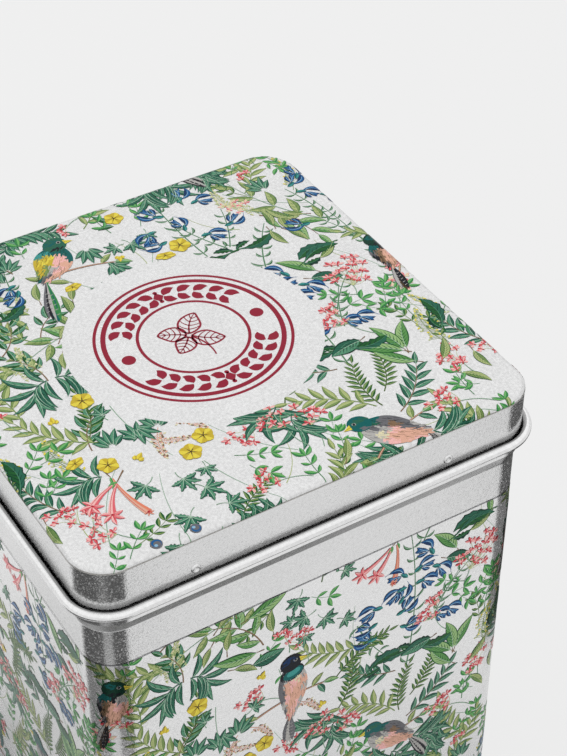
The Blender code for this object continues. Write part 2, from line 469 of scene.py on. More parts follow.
def make_can(*materials):
    def look(half, z, outer):
        if not outer or z < PANEL_Z:
            return BARE
        # painted shadow: near black tin in the gutter under the lid's foot and under the bead
        in_gutter = GUTTER_FLOOR_Z < z < GUTTER_TOP_Z and half < WALL + GUTTER_RADIUS
        under_bead = STEP_TOP_Z < z < BEAD_SHADOW_TOP_Z and half > STEP_FACE + STEP_FILLET / 2
        if in_gutter or under_bead:
            return PAINTED_SHADOW
        # painted shade: darker tin on the gutter's outer side and the bead's inner flank
        if z > GUTTER_FLOOR_Z and WALL + GUTTER_RADIUS / 2 < half < BEAD_SHADE_EDGE:
            return PAINTED_SHADE
        # painted highlight: brighter tin on the bead's crown and outer face
        if z > GUTTER_TOP_Z and half > BEAD_SHADE_EDGE:
            return PAINTED_HIGHLIGHT
        # painted shade: darker tin on the cone below the step
        if FLARE_FOOT_Z < z < STEP_FOOT_Z:
            return PAINTED_SHADE
        # painted highlight: brighter tin on the step and the bead's lower outer face
        if STEP_FOOT_Z < z <= GUTTER_TOP_Z:
            return PAINTED_HIGHLIGHT
        return COATED if z < COAT_TOP_Z and half < HOOK_FACE - HOOK_BEND else BARE

    bare = materials[BARE]
    wall = sheet("can_wall_shell", wall_line(), materials, look)
    fold = bmesh.new()
    inner = WALL - SHEET
    low = Vector((-SEAM_WIDTH / 2, inner - SEAM_DEPTH, SEAM_FOOT_Z))
    high = Vector((SEAM_WIDTH / 2, inner + SHEET / 2, SEAM_TOP_Z))
    placing = Matrix.Translation((low + high) / 2 * MM) @ Matrix.Diagonal((*((high - low) * MM), 1))
    bmesh.ops.create_cube(fold, size=1, matrix=placing)
    bmesh.ops.bevel(fold, geom=fold.edges, offset=SEAM_BEVEL * MM, segments=4, profile=0.5,
                    affect="EDGES")
    seam = object_of("side_seam_fold", fold, [bare])
    base = sheet("base_panel_shell", base_line(), [bare], lambda *_: 0, middle="closed")
    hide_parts("can_wall")
    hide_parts("base_panel")
    for piece in (wall, seam, base):
        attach(piece, "can")


def make_outer_lid(coated, bare):
    def look(half, z, outer):
        return COATED if outer and z > LID_COAT_FOOT_Z else BARE

    lid = sheet("outer_lid_shell", lid_line(), [coated, bare], look, middle="closed")
    nibs = bmesh.new()
    profile = [(0.0, -NIB_ROOT), (NIB_PROFILE[0][0], -NIB_ROOT), *NIB_PROFILE]
    for side in (-1, 1):
        for x in (-NIB_SPACING / 2, NIB_SPACING / 2):
            facing = Matrix.Rotation(-side * math.pi / 2, 4, "X")
            place = Matrix.Translation(Vector((x, side * LID, NIB_Z)) * MM)
            turned(nibs, profile, 40, place @ facing)
    pressed = object_of("lid_nibs", nibs, [bare])
    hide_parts("outer_lid")
    for piece in (lid, pressed):
        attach(piece, "lid")


def make_inner_lid(bare, aluminium):
    pan = sheet("inner_lid_pan_shell", plug_line(), [bare], lambda *_: 0, middle="closed")
    knob = bmesh.new()
    outside = [(r, KNOB_TOP_Z - drop) for r, drop in KNOB_PROFILE]
    bore = [(RIVET_HOLE, KNOB_FOOT_Z), (RIVET_HOLE, KNOB_BORE_TOP_Z), (0, KNOB_BORE_TOP_Z)]
    turned(knob, outside + [(KNOB_PROFILE[-1][0], KNOB_FOOT_Z)] + bore, 96)
    handle = object_of("knob_turning", knob, [aluminium])
    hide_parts("inner_lid_pan")
    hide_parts("inner_lid_knob")
    for piece in (pan, handle):
        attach(piece, "plug")
    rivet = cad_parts["knob_rivet"]
    rivet.data.materials.clear()
    rivet.data.materials.append(bare)


# --- Ink shapes ---------------------------------------------------------------------------------
# The artwork is flat: triangles in (across, up) millimetres. Its tile repeats over lid and walls.

INKS = {
    "pine": (22, 60, 46), "fir": (44, 100, 80), "mint": (88, 144, 114), "haze": (172, 198, 176),
    "leaf": (36, 92, 46), "lawn": (94, 148, 82), "lime": (150, 184, 124),
    "olive": (82, 104, 54), "moss": (124, 148, 88), "straw": (170, 182, 122),
    "sprout": (56, 132, 72), "shoot": (112, 176, 104), "sage": (134, 168, 140),
    "navy": (20, 52, 94), "blue": (34, 94, 148), "sky": (142, 184, 210),
    "lemon": (226, 208, 78), "gold": (198, 174, 58), "umber": (78, 60, 36),
    "red": (190, 50, 62), "rose": (220, 104, 112), "blush": (240, 184, 180),
    "coral": (222, 132, 104), "peach": (222, 172, 150), "cream": (222, 214, 178),
    "celery": (194, 202, 148), "bark": (132, 106, 82), "soot": (30, 32, 38),
    "teal": (22, 96, 94), "aqua": (64, 148, 142), "slate": (108, 108, 112), "dove": (178, 176, 172),
    "crimson": (146, 40, 58),
}
INK_NAMES = list(INKS)
# Leaves: dark edge, middle, light, pale rib
PINE = ("pine", "fir", "mint", "haze")
FERN = ("pine", "leaf", "mint", "haze")
LEAF = ("leaf", "lawn", "lime", "haze")
OLIVE = ("olive", "moss", "straw", "celery")
MOSS = ("leaf", "moss", "straw", "celery")
BRIGHT = ("sprout", "shoot", "lime", "lime")
SAGE = ("leaf", "sage", "haze", "haze")
# The ink of the fine strokes over each ink
DEEPER = {"gold": "umber", "lemon": "gold", "peach": "bark", "blush": "peach", "slate": "soot",
          "dove": "slate", "teal": "pine", "aqua": "teal", "cream": "dove", "bark": "umber",
          "moss": "olive", "fir": "pine", "rose": "red"}
# Heights over the sheet. The last two keep shapes and motifs of one height apart.
INK_GAP = 0.01
LAYER_STEP = 0.0016
LEVEL_STEP = 0.021
SHAPE_STEP = 0.0014
MOTIF_STEP = 0.0095
GOLDEN = 0.6180339887  # its multiples spread evenly over 0 to 1


def joined(parts):
    """Parts that are alike tuples of arrays, such as (triangles, inks, heights), as one."""
    return tuple(np.concatenate(part) for part in zip(*parts))


class Print:
    """Flat shapes of ink: triangles, each with an ink and a height over the sheet."""

    def __init__(self):
        self.parts = []
        self.shapes = 0

    def add(self, triangles, ink, layer=0):
        triangles = np.asarray(triangles, float).reshape(-1, 3, 2)
        height = layer * LAYER_STEP + self.shapes * GOLDEN % 1 * SHAPE_STEP
        count = len(triangles)
        self.parts.append((triangles, np.full(count, INK_NAMES.index(ink)), np.full(count, height)))

    def merged(self):
        return joined(self.parts)

    def stamp(self, motif, place, turn=0.0, size=1.0, flip=False, height=0.0):
        """Adds another print's shapes, mirrored, turned, sized and moved."""
        triangles, inks, heights = motif.merged()
        if flip:
            triangles = triangles * (1, -1)
        cos, sin = math.cos(math.radians(turn)) * size, math.sin(math.radians(turn)) * size
        x, y = triangles[..., 0], triangles[..., 1]
        moved = np.stack([x * cos - y * sin + place[0], x * sin + y * cos + place[1]], axis=-1)
        self.parts.append((moved, inks, heights + height))


def signed_area(triangles):
    """Twice each triangle's area, and negative where it faces down."""
    return np.cross(triangles[:, 1] - triangles[:, 0], triangles[:, 2] - triangles[:, 0])


def facing_up(shapes):
    triangles, inks, heights = shapes
    down = signed_area(triangles)[:, None, None] < 0
    return np.where(down, triangles[:, ::-1], triangles), inks, heights


def polar(length, degrees):
    return np.array([math.cos(math.radians(degrees)), math.sin(math.radians(degrees))]) * length


def bow(root, tip, sag, steps):
    """A curve from root to tip whose middle bulges to the left by sag times its length."""
    root, tip = np.asarray(root, float), np.asarray(tip, float)
    control = (root + tip) / 2 + 2 * sag * np.array([root[1] - tip[1], tip[0] - root[0]])
    t = np.linspace(0, 1, steps + 1)[:, None]
    return (1 - t) ** 2 * root + 2 * t * (1 - t) * control + t ** 2 * tip


def at(line, t):
    """Points at shares t of a line's point count."""
    where = np.clip(t, 0, 1) * (len(line) - 1)
    index = np.arange(len(line))
    return np.stack([np.interp(where, index, line[:, axis]) for axis in (0, 1)], axis=-1)


def heading(line, t):
    run = at(line, t + 0.04) - at(line, t - 0.04)
    return math.degrees(math.atan2(run[1], run[0]))


def left_of(line):
    run = np.gradient(line, axis=0)
    run /= np.linalg.norm(run, axis=1)[:, None]
    return np.stack([-run[:, 1], run[:, 0]], axis=1)


def ribbon(left, right):
    a, b, c, d = left[:-1], right[:-1], right[1:], left[1:]
    return np.concatenate([np.stack([a, b, c], axis=1), np.stack([a, c, d], axis=1)])


def stroke(art, line, width, ink, layer=0, end=0.4):
    offset = left_of(line) * (width / 2 * np.linspace(1, end, len(line)))[:, None]
    art.add(ribbon(line + offset, line - offset), ink, layer)


def stem(art, root, tip, width, ink, sag=0.0, layer=0, steps=6, end=0.5):
    line = bow(root, tip, sag, steps)
    stroke(art, line, width, ink, layer, end)
    return line


def blob(art, centre, size, ink, layer=0, turn=0.0, sides=12):
    angle = np.radians(np.arange(sides + 1) * 360 / sides)
    rim = np.stack([size[0] * np.cos(angle), size[1] * np.sin(angle)], axis=1)
    cos, sin = math.cos(math.radians(turn)), math.sin(math.radians(turn))
    rim = rim @ np.array([[cos, sin], [-sin, cos]]) + centre
    middle = np.tile(np.asarray(centre, float), (sides, 1))
    art.add(np.stack([middle, rim[:-1], rim[1:]], axis=1), ink, layer)


def leaf(art, root, tip, width, inks, sag=0.06, full=0.45, veins=0, layer=0, steps=6, teeth=0.0):
    """A pointed leaf: dark edge, two halves, and on a veined one a pale streak and veins."""
    art.shapes += 1
    middle = bow(root, tip, sag, steps)
    t = np.linspace(0, 1, steps + 1)
    reach = width / 2 * np.sin(np.pi * t ** (math.log(0.5) / math.log(full))).clip(0)
    reach *= 1 + teeth * (np.arange(steps + 1) % 2 * 2 - 1)
    across = left_of(middle) * reach[:, None]
    lit = 1 if across[steps // 2] @ (-0.5, 1.0) > 0 else -1
    art.add(ribbon(middle + across, middle - across), inks[0], layer)
    if not veins:
        half = ribbon(middle + across * 0.8 * lit, middle - across * 0.08 * lit)
        art.add(half[:, ::lit], inks[1], layer + 1)
        return
    art.add(ribbon(middle + across * 0.84 * lit, middle), inks[2], layer + 1)
    art.add(ribbon(middle, middle - across * 0.8 * lit), inks[1], layer + 1)
    along = np.linspace(0.08, 0.72, veins)
    for side in (1, -1):
        ends = at(middle, along + 0.19) + side * 0.8 * at(across, along + 0.19)
        veined = np.stack([at(middle, along), at(middle, along + 0.05), ends], axis=1)
        art.add(veined, inks[0], layer + 2)
    stroke(art, middle[:-1], 0.13, inks[3], layer + 3)


def spray(length, pairs, leaf_length, leaf_width, inks, twig, angle=52, sag=0.1, bend=0.12, veins=0,
          stagger=0.3, start=0.12, taper=0.55, twig_width=0.26, full=0.42, close=16):
    """Leaves in pairs along a bowed twig that grows along +X."""
    art = Print()
    line = bow((0, 0), (length, 0), bend, 10)
    stroke(art, line, twig_width, twig, 4, end=0.35)
    for k in range(pairs):
        share = k / pairs
        size = leaf_length * (1 - taper * max(0.0, share - 0.35))
        size *= 0.85 + 0.15 * min(1, share * 4)
        for side in (1, -1):
            t = start + (1 - start) * (share + side * stagger / 2 / pairs)
            root = at(line, t)
            tip = root + polar(size, heading(line, t) + side * (angle - close * share))
            leaf(art, root, tip, leaf_width * size / leaf_length, inks, side * sag, full, veins)
    end = at(line, 1.0)
    leaf(art, end, end + polar(leaf_length * 0.75, heading(line, 1.0)), leaf_width * 0.75, inks,
         sag / 2, full, veins)
    return art


def bunch(count, spread, length, width, inks, sag=0.08, veins=2):
    """Leaves fanned out of one point."""
    art = Print()
    for k in range(count):
        aside = 2 * k / (count - 1) - 1
        tip = polar(length * (1 - 0.25 * abs(aside) + 0.12 * (k % 2)), spread * aside)
        leaf(art, polar(0.6, spread * aside * 1.5), tip, width, inks, -sag * aside, veins=veins)
    return art


def maple(size, lobes=5):
    """A deeply cut, toothed leaf on a stalk, its stalk's root at the origin."""
    art = Print()
    base = polar(size * 0.55, 0)
    stem(art, (0, 0), base, 0.18, "sage", 0.1, 4)
    for k in range(lobes):
        aside = 2 * k / (lobes - 1) - 1
        tip = base + polar(size * (1 - 0.3 * abs(aside)), 86 * aside)
        leaf(art, base, tip, size * 0.28, PINE, -0.12 * aside, 0.5, 2, steps=8, teeth=0.24)
    return art


def sprig(length, count, size, inks, twig, dice):
    """Small leaves in pairs on a thin twig, with three at its end."""
    art = Print()
    line = stem(art, (0, 0), (length, 0), 0.15, twig, dice.uniform(-0.14, 0.14), 1, 8)
    for k in range(count):
        t = 0.34 + 0.66 * k / max(1, count - 1)
        root = at(line, t)
        for aside in (-46, 44) if k < count - 1 else (-52, -4, 50):
            grown = size * dice.uniform(0.75, 1.15)
            tip = root + polar(grown, heading(line, t) + aside * dice.uniform(0.8, 1.2))
            leaf(art, root, tip, grown * 0.36, inks, aside / 600, 0.5)
    return art


def cluster(radius, count, inks, dice, stalk=6.0):
    """A loose head of narrow petalled florets round the origin, its stalk coming along +X."""
    art = Print()
    neck = np.array([-radius, 0.0])
    stem(art, (-radius - stalk, 0), neck, 0.17, "sage", 0.08, 0, end=0.8)
    for k in range(count):
        place = polar(radius * math.sqrt((k + 0.4) / count), k * 137.5 + dice.uniform(-18, 18))
        stem(art, neck, place, 0.08, inks[2], 0.1, 0, 3, end=0.9)
        aim = math.degrees(math.atan2(place[1], place[0] + radius * 1.6))
        for petal in range(4):
            turn = aim + (-78, -26, 26, 78)[petal] + dice.uniform(-12, 12)
            deep, light = ((3, 0), (0, 1), (1, 1))[(k + 2 * petal) % 3]
            pair = (inks[deep], inks[light])
            tip = place + polar(dice.uniform(0.9, 1.6), turn)
            leaf(art, place, tip, 0.6, pair, 0, 0.6, layer=1, steps=4)
        stem(art, place - polar(0.5, aim), place + polar(0.25, aim), 0.3, inks[3], 0, 3, 2)
    return art


def blossom(size, petals, inks, tilt=1.0):
    """An open flower of broad petals with dark lines out of its heart."""
    art = Print()
    for k in range(petals):
        aim = 360 * k / petals + 90
        root, tip = polar(size * 0.05, aim), polar(size, aim)
        leaf(art, root, tip, size * 0.95, (inks[1], inks[0]), 0.0, 0.64, layer=k % 2, steps=6)
        aside = aim + 180 / petals
        line = [polar(0.1, aside + 90), polar(0.1, aside - 90), polar(size * 0.62, aside)]
        art.add([line], inks[2], 3)
    blob(art, (0, 0), (size * 0.1, size * 0.1), inks[2], 4, sides=7)
    art.parts = [(triangles * (1.0, tilt), *rest) for triangles, *rest in art.parts]
    return art


def trumpet(art, root, mouth, width, inks, sag=0.1, star=2.0):
    """A slender flared tube with a mouth of narrow petals. inks: shade, light, line."""
    art.shapes += 1
    line = bow(root, mouth, sag, 7)
    t = np.linspace(0, 1, 8)
    across = left_of(line) * (width / 2 * (0.3 + 0.7 * t ** 1.6))[:, None]
    art.add(ribbon(line + across, line - across), inks[1], 0)
    art.add(ribbon(line - across * 0.2, line - across), inks[0], 1)
    stroke(art, (line + across * 0.5)[1:], 0.1, inks[2], 2, end=0.9)
    aim = heading(line, 1.0)
    for aside in (-118, -64, -14, 40, 96):
        tip = np.add(mouth, polar(star * (1.1 - abs(aside) / 500), aim + aside))
        leaf(art, mouth, tip, star * 0.34, (inks[0], inks[1]), layer=3)
        stem(art, mouth, np.add(mouth, polar(star * 0.6, aim + aside)), 0.15, inks[2], 0, 5, 2)
    blob(art, mouth, (0.26, 0.26), inks[2], 5, sides=6)


def trumpets(count, length, inks, star):
    art = Print()
    stem(art, (-3, 0), (0, 0), 0.3, "bark")
    for k in range(count):
        aim = 30 * (k - (count - 1) / 2)
        mouth = polar(length * (1 - 0.12 * k), aim)
        trumpet(art, polar(0.5, aim), mouth, 1.5, inks, 0.05, star)
        leaf(art, (0, 0), polar(1.9, aim + 18), 0.5, BRIGHT, layer=1)
    return art


def salvia():
    """A blue two-lipped flower out of the origin: a calyx, a hood and a lobed lower lip."""
    art = Print()
    leaf(art, (0, 0), (2.1, 0.1), 0.9, ("teal", "aqua"), 0.05, layer=0)
    lobes = (((2.7, -2.2), 0.8, -0.12), ((3.7, -2.1), 1.05, 0.1), ((4.4, -1.3), 0.75, -0.08))
    for tip, width, sag in lobes:
        leaf(art, (1.5, -0.1), tip, width, ("navy", "blue"), sag, 0.64, layer=1)
        stroke(art, bow((2.0, -0.3), np.multiply(tip, 0.86), sag, 4), 0.12, "sky", 3, end=0.5)
    leaf(art, (1.0, 0.1), (4.7, -0.4), 1.25, ("navy", "blue"), 0.26, 0.62, layer=4, steps=8)
    stroke(art, bow((1.9, 0.55), (4.1, 0.4), 0.16, 5), 0.15, "sky", 6, end=0.5)
    stem(art, (4.2, 0.0), (5.2, -1.1), 0.12, "blue", 0.1, 2, 3)
    return art


def sage_stem(length, nodes, dice):
    """A pale square stem with small curled leaves in pairs."""
    art = Print()
    line = stem(art, (0, 0), (length, 0), 0.34, "sage", 0.04, 0, 12)
    stroke(art, line, 0.12, "leaf", 1, end=0.6)
    for k in range(nodes):
        t = 0.04 + 0.94 * k / nodes
        for side in (1, -1):
            turn = heading(line, t) + side * dice.uniform(38, 66)
            root = at(line, t)
            tip = root + polar(dice.uniform(1.6, 3.0), turn)
            leaf(art, root, tip, 0.6, SAGE, 0.2 * side, layer=2)
    return art


def plume(length, count, inks, twig, dice):
    """A tapering head of tiny pale buds."""
    art = Print()
    line = stem(art, (0, 0), (length, 0), 0.15, twig, 0.1, 0, 8)
    for k in range(count):
        t = 0.22 + 0.78 * k / count
        root = at(line, t)
        reach = dice.uniform(0.3, 1) * length * 0.2 * (1.2 - t) * (1 if k % 2 else -1)
        place = root + polar(reach, heading(line, t) + 62)
        stem(art, root, place, 0.08, twig, 0, 0, 2, end=0.9)
        blob(art, place, (0.34, 0.2), inks[k % len(inks)], 1, turn=dice.uniform(0, 180), sides=6)
        art.shapes += 1
    return art


def feathers(art, spine, width, coat, dice):
    """A body along a spine: softly broken patches of colour under fine strokes of a deeper ink."""
    steps, lanes, strokes, full = 26, 18, 200, 0.42
    t = np.linspace(0, 1, steps + 1)
    line = at(spine, t)
    reach = width / 2 * np.sin(np.pi * (0.1 + 0.86 * t) ** (math.log(0.5) / math.log(full)))
    across = left_of(line) * reach[:, None]
    rows = [row.split() for row in coat]

    def ink_at(along, aside):
        row = rows[int(np.clip(along * len(rows), 0, len(rows) - 1))]
        return row[int(np.clip((aside + 1) / 2 * len(row), 0, len(row) - 1))]

    for lane in range(lanes):
        low, high = 2 * lane / lanes - 1, 2 * (lane + 1) / lanes - 1
        strip = ribbon(line + across * high, line + across * low)
        for k in range(steps):
            aside = (low + high) / 2 + dice.uniform(-0.13, 0.13)
            art.add(strip[[k, k + steps]], ink_at(t[k] + dice.uniform(-0.04, 0.04), aside), 1)
    for k in range(strokes):
        along, aside = dice.uniform(0, 0.95), dice.uniform(-0.9, 0.9)
        place = at(line, along) + aside * at(across, along)
        ink = ink_at(along + dice.uniform(-0.08, 0.05), aside + dice.uniform(-0.14, 0.14))
        tip = place + polar(dice.uniform(0.8, 1.5), heading(line, along) + dice.uniform(-12, 12))
        if k % 2:
            leaf(art, place, tip, 0.34, (ink, ink), steps=3, layer=2)
        else:
            stem(art, place, tip, 0.1, DEEPER.get(ink, ink), 0.08, 3, 2)


def head(art, size, inks, beak, dice):
    """A round head at the origin, looking along +X. inks: cap, cheek, throat."""
    blob(art, (0, 0), (size * 1.06, size * 0.96), inks[1], 6, turn=14, sides=20)
    for _ in range(44):
        place = polar(size * math.sqrt(dice.uniform(0.02, 0.62)), dice.uniform(0, 360))
        ink = inks[0] if place[1] > size * 0.1 else inks[2] if place[1] < -size * 0.35 else inks[1]
        tip = place + polar(size * 0.4, 200 + dice.uniform(-14, 14))
        leaf(art, place, tip, 0.36, (ink, ink), steps=3, layer=7)
    bill = np.array([[(0.82, 0.3), (0.86, -0.3), (1.6, -0.16)]]) * size
    art.add(bill, beak, 8)
    stem(art, (size * 0.84, 0), (size * 1.5, -size * 0.14), 0.1, "umber", 0, 9, 2)
    eye = (size * 0.42, size * 0.16)
    blob(art, eye, (size * 0.19, size * 0.18), "dove", 8, sides=9)
    blob(art, eye, (size * 0.13, size * 0.13), "soot", 9, sides=8)


def bird(vent, tail, width, coat, crown, tail_inks, beak, seed, size=2.3, collar=()):
    """A perched bird whose head is at the origin. coat: rows of inks from its right to its left."""
    dice = np.random.default_rng(seed)
    art = Print()
    vent, tail = np.array(vent, float), np.array(tail, float)
    spine = bow((-0.3, -size * 0.45), vent, 0.05, 12)
    for k, ink in enumerate(tail_inks):
        aside = k - (len(tail_inks) - 1) / 2
        tip = tail + polar(abs(aside) * 0.5, 90) + polar(aside * 0.62, heading(spine, 1) - 90)
        leaf(art, at(spine, 0.86), tip, 1.5, (ink, "dove" if k % 3 == 2 else ink), 0, 0.62, layer=0)
        for bar in range(5):
            place = at(spine, 0.86) + (tip - at(spine, 0.86)) * (0.4 + 0.11 * bar)
            stem(art, place - (0.3, 0), place + (0.3, 0.1), 0.16, ("dove", "soot")[k % 2], 0, 3, 1)
    feathers(art, spine, width, coat, dice)
    for layer, (place, reach, turn, ink) in enumerate(collar, 3):
        blob(art, place, reach, ink, layer, turn, 20)
    head(art, size, crown, beak, dice)
    return art


def perch(length):
    """A branch with a few leaves, its middle at the origin."""
    art = Print()
    line = stem(art, (-length / 2, 0), (length / 2, 0), 0.5, "bark", 0.06, 0, 8, end=0.6)
    stroke(art, line, 0.16, "peach", 1, end=0.6)
    for t, turn, inks in (
            (0.04, 150, OLIVE), (0.82, 40, OLIVE), (0.98, -20, LEAF), (0.9, -70, PINE)):
        root = at(line, t)
        leaf(art, root, root + polar(3.6, turn), 1.4, inks, veins=3, layer=1)
    return art


# --- The artwork --------------------------------------------------------------------------------

# One face with half of the corner on either side, and the artwork's own height
TILE = (2 * CORNER_CENTRE + math.pi / 2 * (WALL - CORNER_CENTRE), 92.0)
PINK = ("rose", "blush", "celery", "red")
PALE = ("blush", "cream", "celery", "rose")
SUNNY = ("lemon", "gold", "umber")


def motif_book():
    """Every motif of the artwork, drawn once. Each grows along +X from its own root."""
    dice = np.random.default_rng(7)
    book = {
        "fan": spray(5.0, 4, 7.2, 1.75, PINE, "fir", 86, -0.14, 0.2, 4, 0.2, 0.04, 0.3, close=64),
        "comb": spray(13.0, 7, 5.2, 1.7, PINE, "fir", 64, -0.1, 0.14, 3, close=20),
        "frond": spray(16.0, 6, 4.8, 1.5, OLIVE, "moss", 52, -0.06, 0.1, 2),
        "greenfrond": spray(14.0, 5, 5.0, 1.6, PINE, "bark", 48, -0.06, 0.08, 3),
        "feather": spray(13.0, 9, 3.0, 0.85, MOSS, "olive", 56, -0.05, 0.1),
        "column": spray(24.0, 4, 5.8, 2.1, MOSS, "sage", 46, 0.08, 0.07, 4, 0.9, 0.08, 0.2),
        "bough": spray(15.0, 3, 6.8, 2.3, LEAF, "bark", 44, 0.08, 0.12, 5, 0.8, 0.2, 0.2, 0.34),
        "twig": spray(10.0, 3, 4.4, 1.6, FERN, "bark", 48, 0.06, 0.12, 3, 0.7, 0.3, 0.2),
        "lances": bunch(5, 52, 5.0, 1.35, PINE),
        "blades": bunch(3, 60, 5.4, 1.6, FERN, 0.12, 3),
        "maple": maple(4.2), "maplet": maple(3.2),
        "cluster": cluster(3.0, 7, PINK, dice), "posy": cluster(1.7, 3, PINK, dice, 4.0),
        "umbel": cluster(4.7, 17, PINK, dice, 3.0), "may": cluster(2.6, 7, PALE, dice, 7.0),
        "yellow": blossom(2.25, 5, SUNNY), "tilted": blossom(2.1, 5, SUNNY, 0.55),
        "bud": bunch(3, 30, 2.3, 1.0, ("gold", "lemon", "lemon", "umber"), 0.05, 0),
        "trumpets": trumpets(2, 8.0, ("rose", "blush", "red"), 2.4),
        "flute": trumpets(1, 10.5, ("coral", "peach", "red"), 1.0),
        "salvia": salvia(),
        "sage": sage_stem(36.0, 10, dice), "sagelet": sage_stem(14.0, 5, dice),
        "sprig": sprig(7.5, 3, 2.5, BRIGHT, "sprout", dice),
        "cress": sprig(4.5, 2, 2.9, BRIGHT, "sage", dice),
        "mossy": sprig(8.5, 4, 2.2, MOSS, "moss", dice),
        "plume": plume(9.0, 34, ("cream", "celery", "straw"), "celery", dice),
        "brush": plume(8.0, 30, ("peach", "bark", "cream"), "peach", dice),
        "yarrow": plume(13.0, 46, ("straw", "celery", "lemon"), "moss", dice),
        "parrot": bird((-7.4, -9.6), (-10.2, -22), 7.6, (
            "teal aqua teal teal teal teal", "aqua gold lemon blush blush teal",
            "gold lemon gold blush peach peach", "gold gold moss dove blush peach",
            "moss gold moss slate peach peach", "teal teal slate slate peach blush",
        ), ("teal", "fir", "soot"), ("sprout", "teal", "teal", "soot", "slate"), "lemon", 3, 2.3),
        "thrush": bird((-2.6, -15.2), (-3.6, -22), 6.2, (
            "slate teal teal teal slate", "slate dove cream cream dove",
            "slate peach blush peach peach", "slate peach peach peach dove",
            "slate blush peach peach peach", "dove peach peach blush dove",
            "slate peach blush peach dove", "dove rose peach blush dove",
        ), ("navy", "soot", "soot"), ("slate", "dove", "dove", "slate"), "lemon", 5, 2.2,
            (((-0.2, -2.8), (2.6, 1.8), 8, "soot"), ((0, -2.9), (2.2, 1.35), 8, "teal"),
             ((0.1, -2.7), (1.5, 0.8), 8, "aqua"))),
        "jay": bird((-10.0, -7.6), (-13.4, -16.0), 7.4, (
            "teal fir slate dove dove", "slate slate dove cream dove",
            "slate bark blush peach blush", "slate slate peach peach peach",
            "dove slate peach peach blush", "slate dove peach peach peach",
        ), ("fir", "teal", "slate"), ("soot", "slate", "dove", "soot", "dove"), "lemon", 8, 2.1),
        "wren": bird((-2.6, -9.0), (-4.6, -16.5), 5.6, (
            "teal teal soot dove dove", "slate bark peach blush peach",
            "soot bark peach peach peach", "soot slate bark peach peach",
        ), ("teal", "pine", "soot"), ("soot", "umber", "slate"), "lemon", 13, 2.1),
        "perch": perch(15.0), "rod": perch(9.0),
    }
    for name, length, width, inks, sag in (
            ("blade", 9.4, 3.0, LEAF, 0.06), ("shade", 7.0, 3.5, PINE, -0.04),
            ("slip", 6.0, 1.9, MOSS, 0.08), ("dart", 5.0, 1.6, OLIVE, 0.05)):
        book[name] = Print()
        stem(book[name], (-1.6, -0.3), (0, 0), 0.22, "bark")
        leaf(book[name], (0, 0), (length, 0), width, inks, sag, 0.44, 7, steps=9)
    book["ribbon"] = Print()
    stem(book["ribbon"], (-1, 0), (4, 0.8), 0.3, "leaf")
    leaf(book["ribbon"], (0.5, 0), (9.6, -0.6), 2.7, ("pine", "leaf", "fir", "mint"), 0.16, 0.6, 6,
         steps=11, teeth=0.16)
    leaf(book["ribbon"], (0, 0), (4.2, -0.9), 1.5, ("pine", "pine", "leaf", "mint"), -0.14, 0.5, 3,
         steps=9, teeth=0.24)
    book["berry"] = Print()
    for layer, (place, size, ink) in enumerate((
            ((0, 0), 1.05, "slate"), ((0.05, 0.08), 0.84, "blue"), ((0.1, -0.1), 0.62, "slate"),
            ((-0.2, -0.35), 0.3, "sky"))):
        blob(book["berry"], place, (size, size), ink, layer, sides=16)
    for name, length, ink, sag in (("stalk", 18, "sage", 0.06), ("wisp", 11, "straw", -0.1)):
        book[name] = Print()
        stem(book[name], (0, 0), (length, 0), 0.17, ink, sag, 0, 10)
    return book


